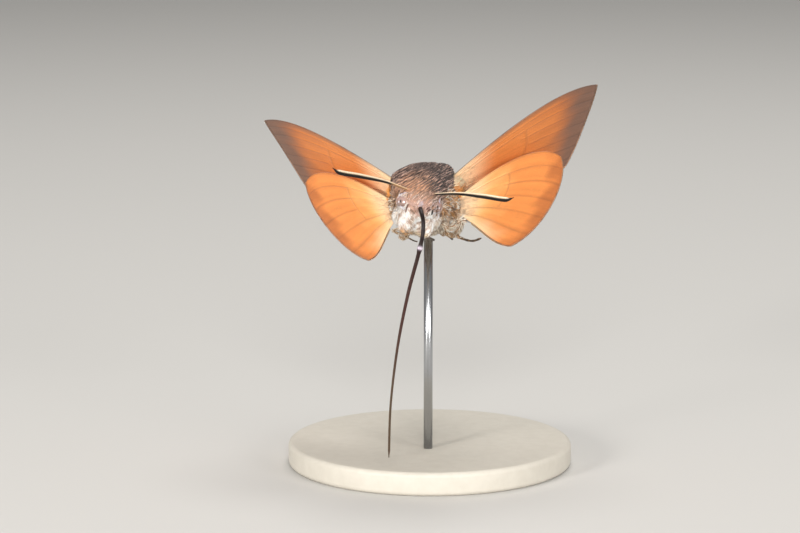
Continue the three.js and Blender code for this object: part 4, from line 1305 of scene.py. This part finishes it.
make_face_marks()
for hand, mirror in SIDES:
    make_eye(hand, mirror)
    make_eye_rim(hand, mirror)
    make_feeler(hand, mirror)
    make_feeler_root(hand, mirror)
    make_leg(f"foreleg_{hand}", LEGS[f"foreleg_{hand}"], AS_IT_IS)
    make_leg(f"midleg_{hand}", LEGS["midleg"], mirror)
    make_leg(f"hindleg_{hand}", LEGS["hindleg"], mirror)
make_tongue()


# Stand

BASE_ROUND, CENTRE_RING = 0.5, 0.3  # the radius of the base's edges, and of the innermost ring of its faces


def lathe(profile, at, sides=128):
    """A round form from a profile of radius and height, from its lowest ring to its highest."""
    around = np.linspace(0, 2 * math.pi, sides, endpoint=False)
    r, z = np.array(profile).T[:, :, None]
    return loft(table(r * np.cos(around) + at[0], r * np.sin(around) + at[1], z))


def make_stand():
    """The turned base, with rounded edges, and the rod, which stands where its solid does."""
    arc = [(math.sin(a) * BASE_ROUND, math.cos(a) * BASE_ROUND) for a in np.linspace(0, math.pi / 2, 9)]
    flat, low, high = BASE_RADIUS - BASE_ROUND, BASE_ROUND, BASE_HEIGHT - BASE_ROUND
    profile = [(CENTRE_RING, 0), (flat, 0)]
    profile += [(flat + s, low - c) for s, c in arc]
    profile += [(flat + c, high + s) for s, c in arc]
    form = lathe(profile + [(CENTRE_RING, BASE_HEIGHT)], (0, 0))
    base = make_piece("stand_base_turned", *form, lacquer_material())
    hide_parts("stand_base")
    foot = np.array(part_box("stand_rod")) * 1000
    profile = [(ROD_RADIUS, BASE_HEIGHT - SOCKET_DEPTH), (ROD_RADIUS, foot[1][2])]
    form = lathe(profile, foot.mean(axis=0)[:2], 48)
    rod = make_piece("stand_rod_drawn", *form, steel_material())
    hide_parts("stand_rod")


make_stand()


# Floor, light and camera, in metres

LIGHTS = (  # name, place, size, watts and colour
    ("key", (-0.34, -0.38, 0.14), 0.12, 1.8, (1.0, 0.97, 0.93)),
    ("fill", (0.34, -0.38, 0.14), 0.2, 1.1, (1.0, 0.98, 0.96)),
    ("front", (0.02, -0.5, 0.24), 0.2, 1.55, (1.0, 0.98, 0.95)),
    ("top", (0.05, 0.2, 0.5), 0.25, 1.2, (1.0, 0.98, 0.95)),
)
LIGHTS_AIM = (0, -0.004, 0.026)
FLOOR_HALF = 4


def make_floor():
    material, _, shader = new_material("floor", 0.9, specular_ior_level=0.15)
    shader.inputs["Base Color"].default_value = (0.62, 0.61, 0.59, 1)
    corners = [(x * FLOOR_HALF, y * FLOOR_HALF, 0) for x, y in ((-1, -1), (1, -1), (1, 1), (-1, 1))]
    mesh = bpy.data.meshes.new("floor")
    mesh.from_pydata(corners, [], [(0, 1, 2, 3)])
    mesh.materials.append(material)
    floor = bpy.data.objects.new("floor", mesh)
    bpy.context.collection.objects.link(floor)


def add_lights():
    world = bpy.data.worlds.new("studio")
    world.use_nodes = True
    sky = world.node_tree.nodes["Background"]
    sky.inputs["Color"].default_value = (1.0, 0.99, 0.97, 1)
    sky.inputs["Strength"].default_value = 0.33
    bpy.context.scene.world = world
    for name, place, size, watts, colour in LIGHTS:
        data = bpy.data.lights.new(name, "AREA")
        data.shape, data.size, data.energy, data.color = "DISK", size, watts, colour
        light = bpy.data.objects.new(name, data)
        light.location = place
        aim = Matrix.Translation(LIGHTS_AIM).translation - light.location
        light.rotation_euler = aim.to_track_quat("-Z", "Y").to_euler()
        bpy.context.collection.objects.link(light)
    bpy.context.scene.view_settings.view_transform = "Standard"  # paints keep their own colours


def add_camera():
    data = bpy.data.cameras.new("camera")
    data.lens, data.sensor_width = 135, 36
    data.clip_start, data.clip_end = 0.01, 20
    tilt = math.radians(CAMERA_UP)
    camera = bpy.data.objects.new("camera", data)
    away = np.array((0, -math.cos(tilt), math.sin(tilt))) * CAMERA_AWAY
    camera.location = (np.array(CAMERA_AIM) + away) * 0.001
    camera.rotation_euler = (math.pi / 2 - tilt, 0, 0)
    bpy.context.collection.objects.link(camera)
    bpy.context.scene.camera = camera


make_floor()
add_lights()
add_camera()
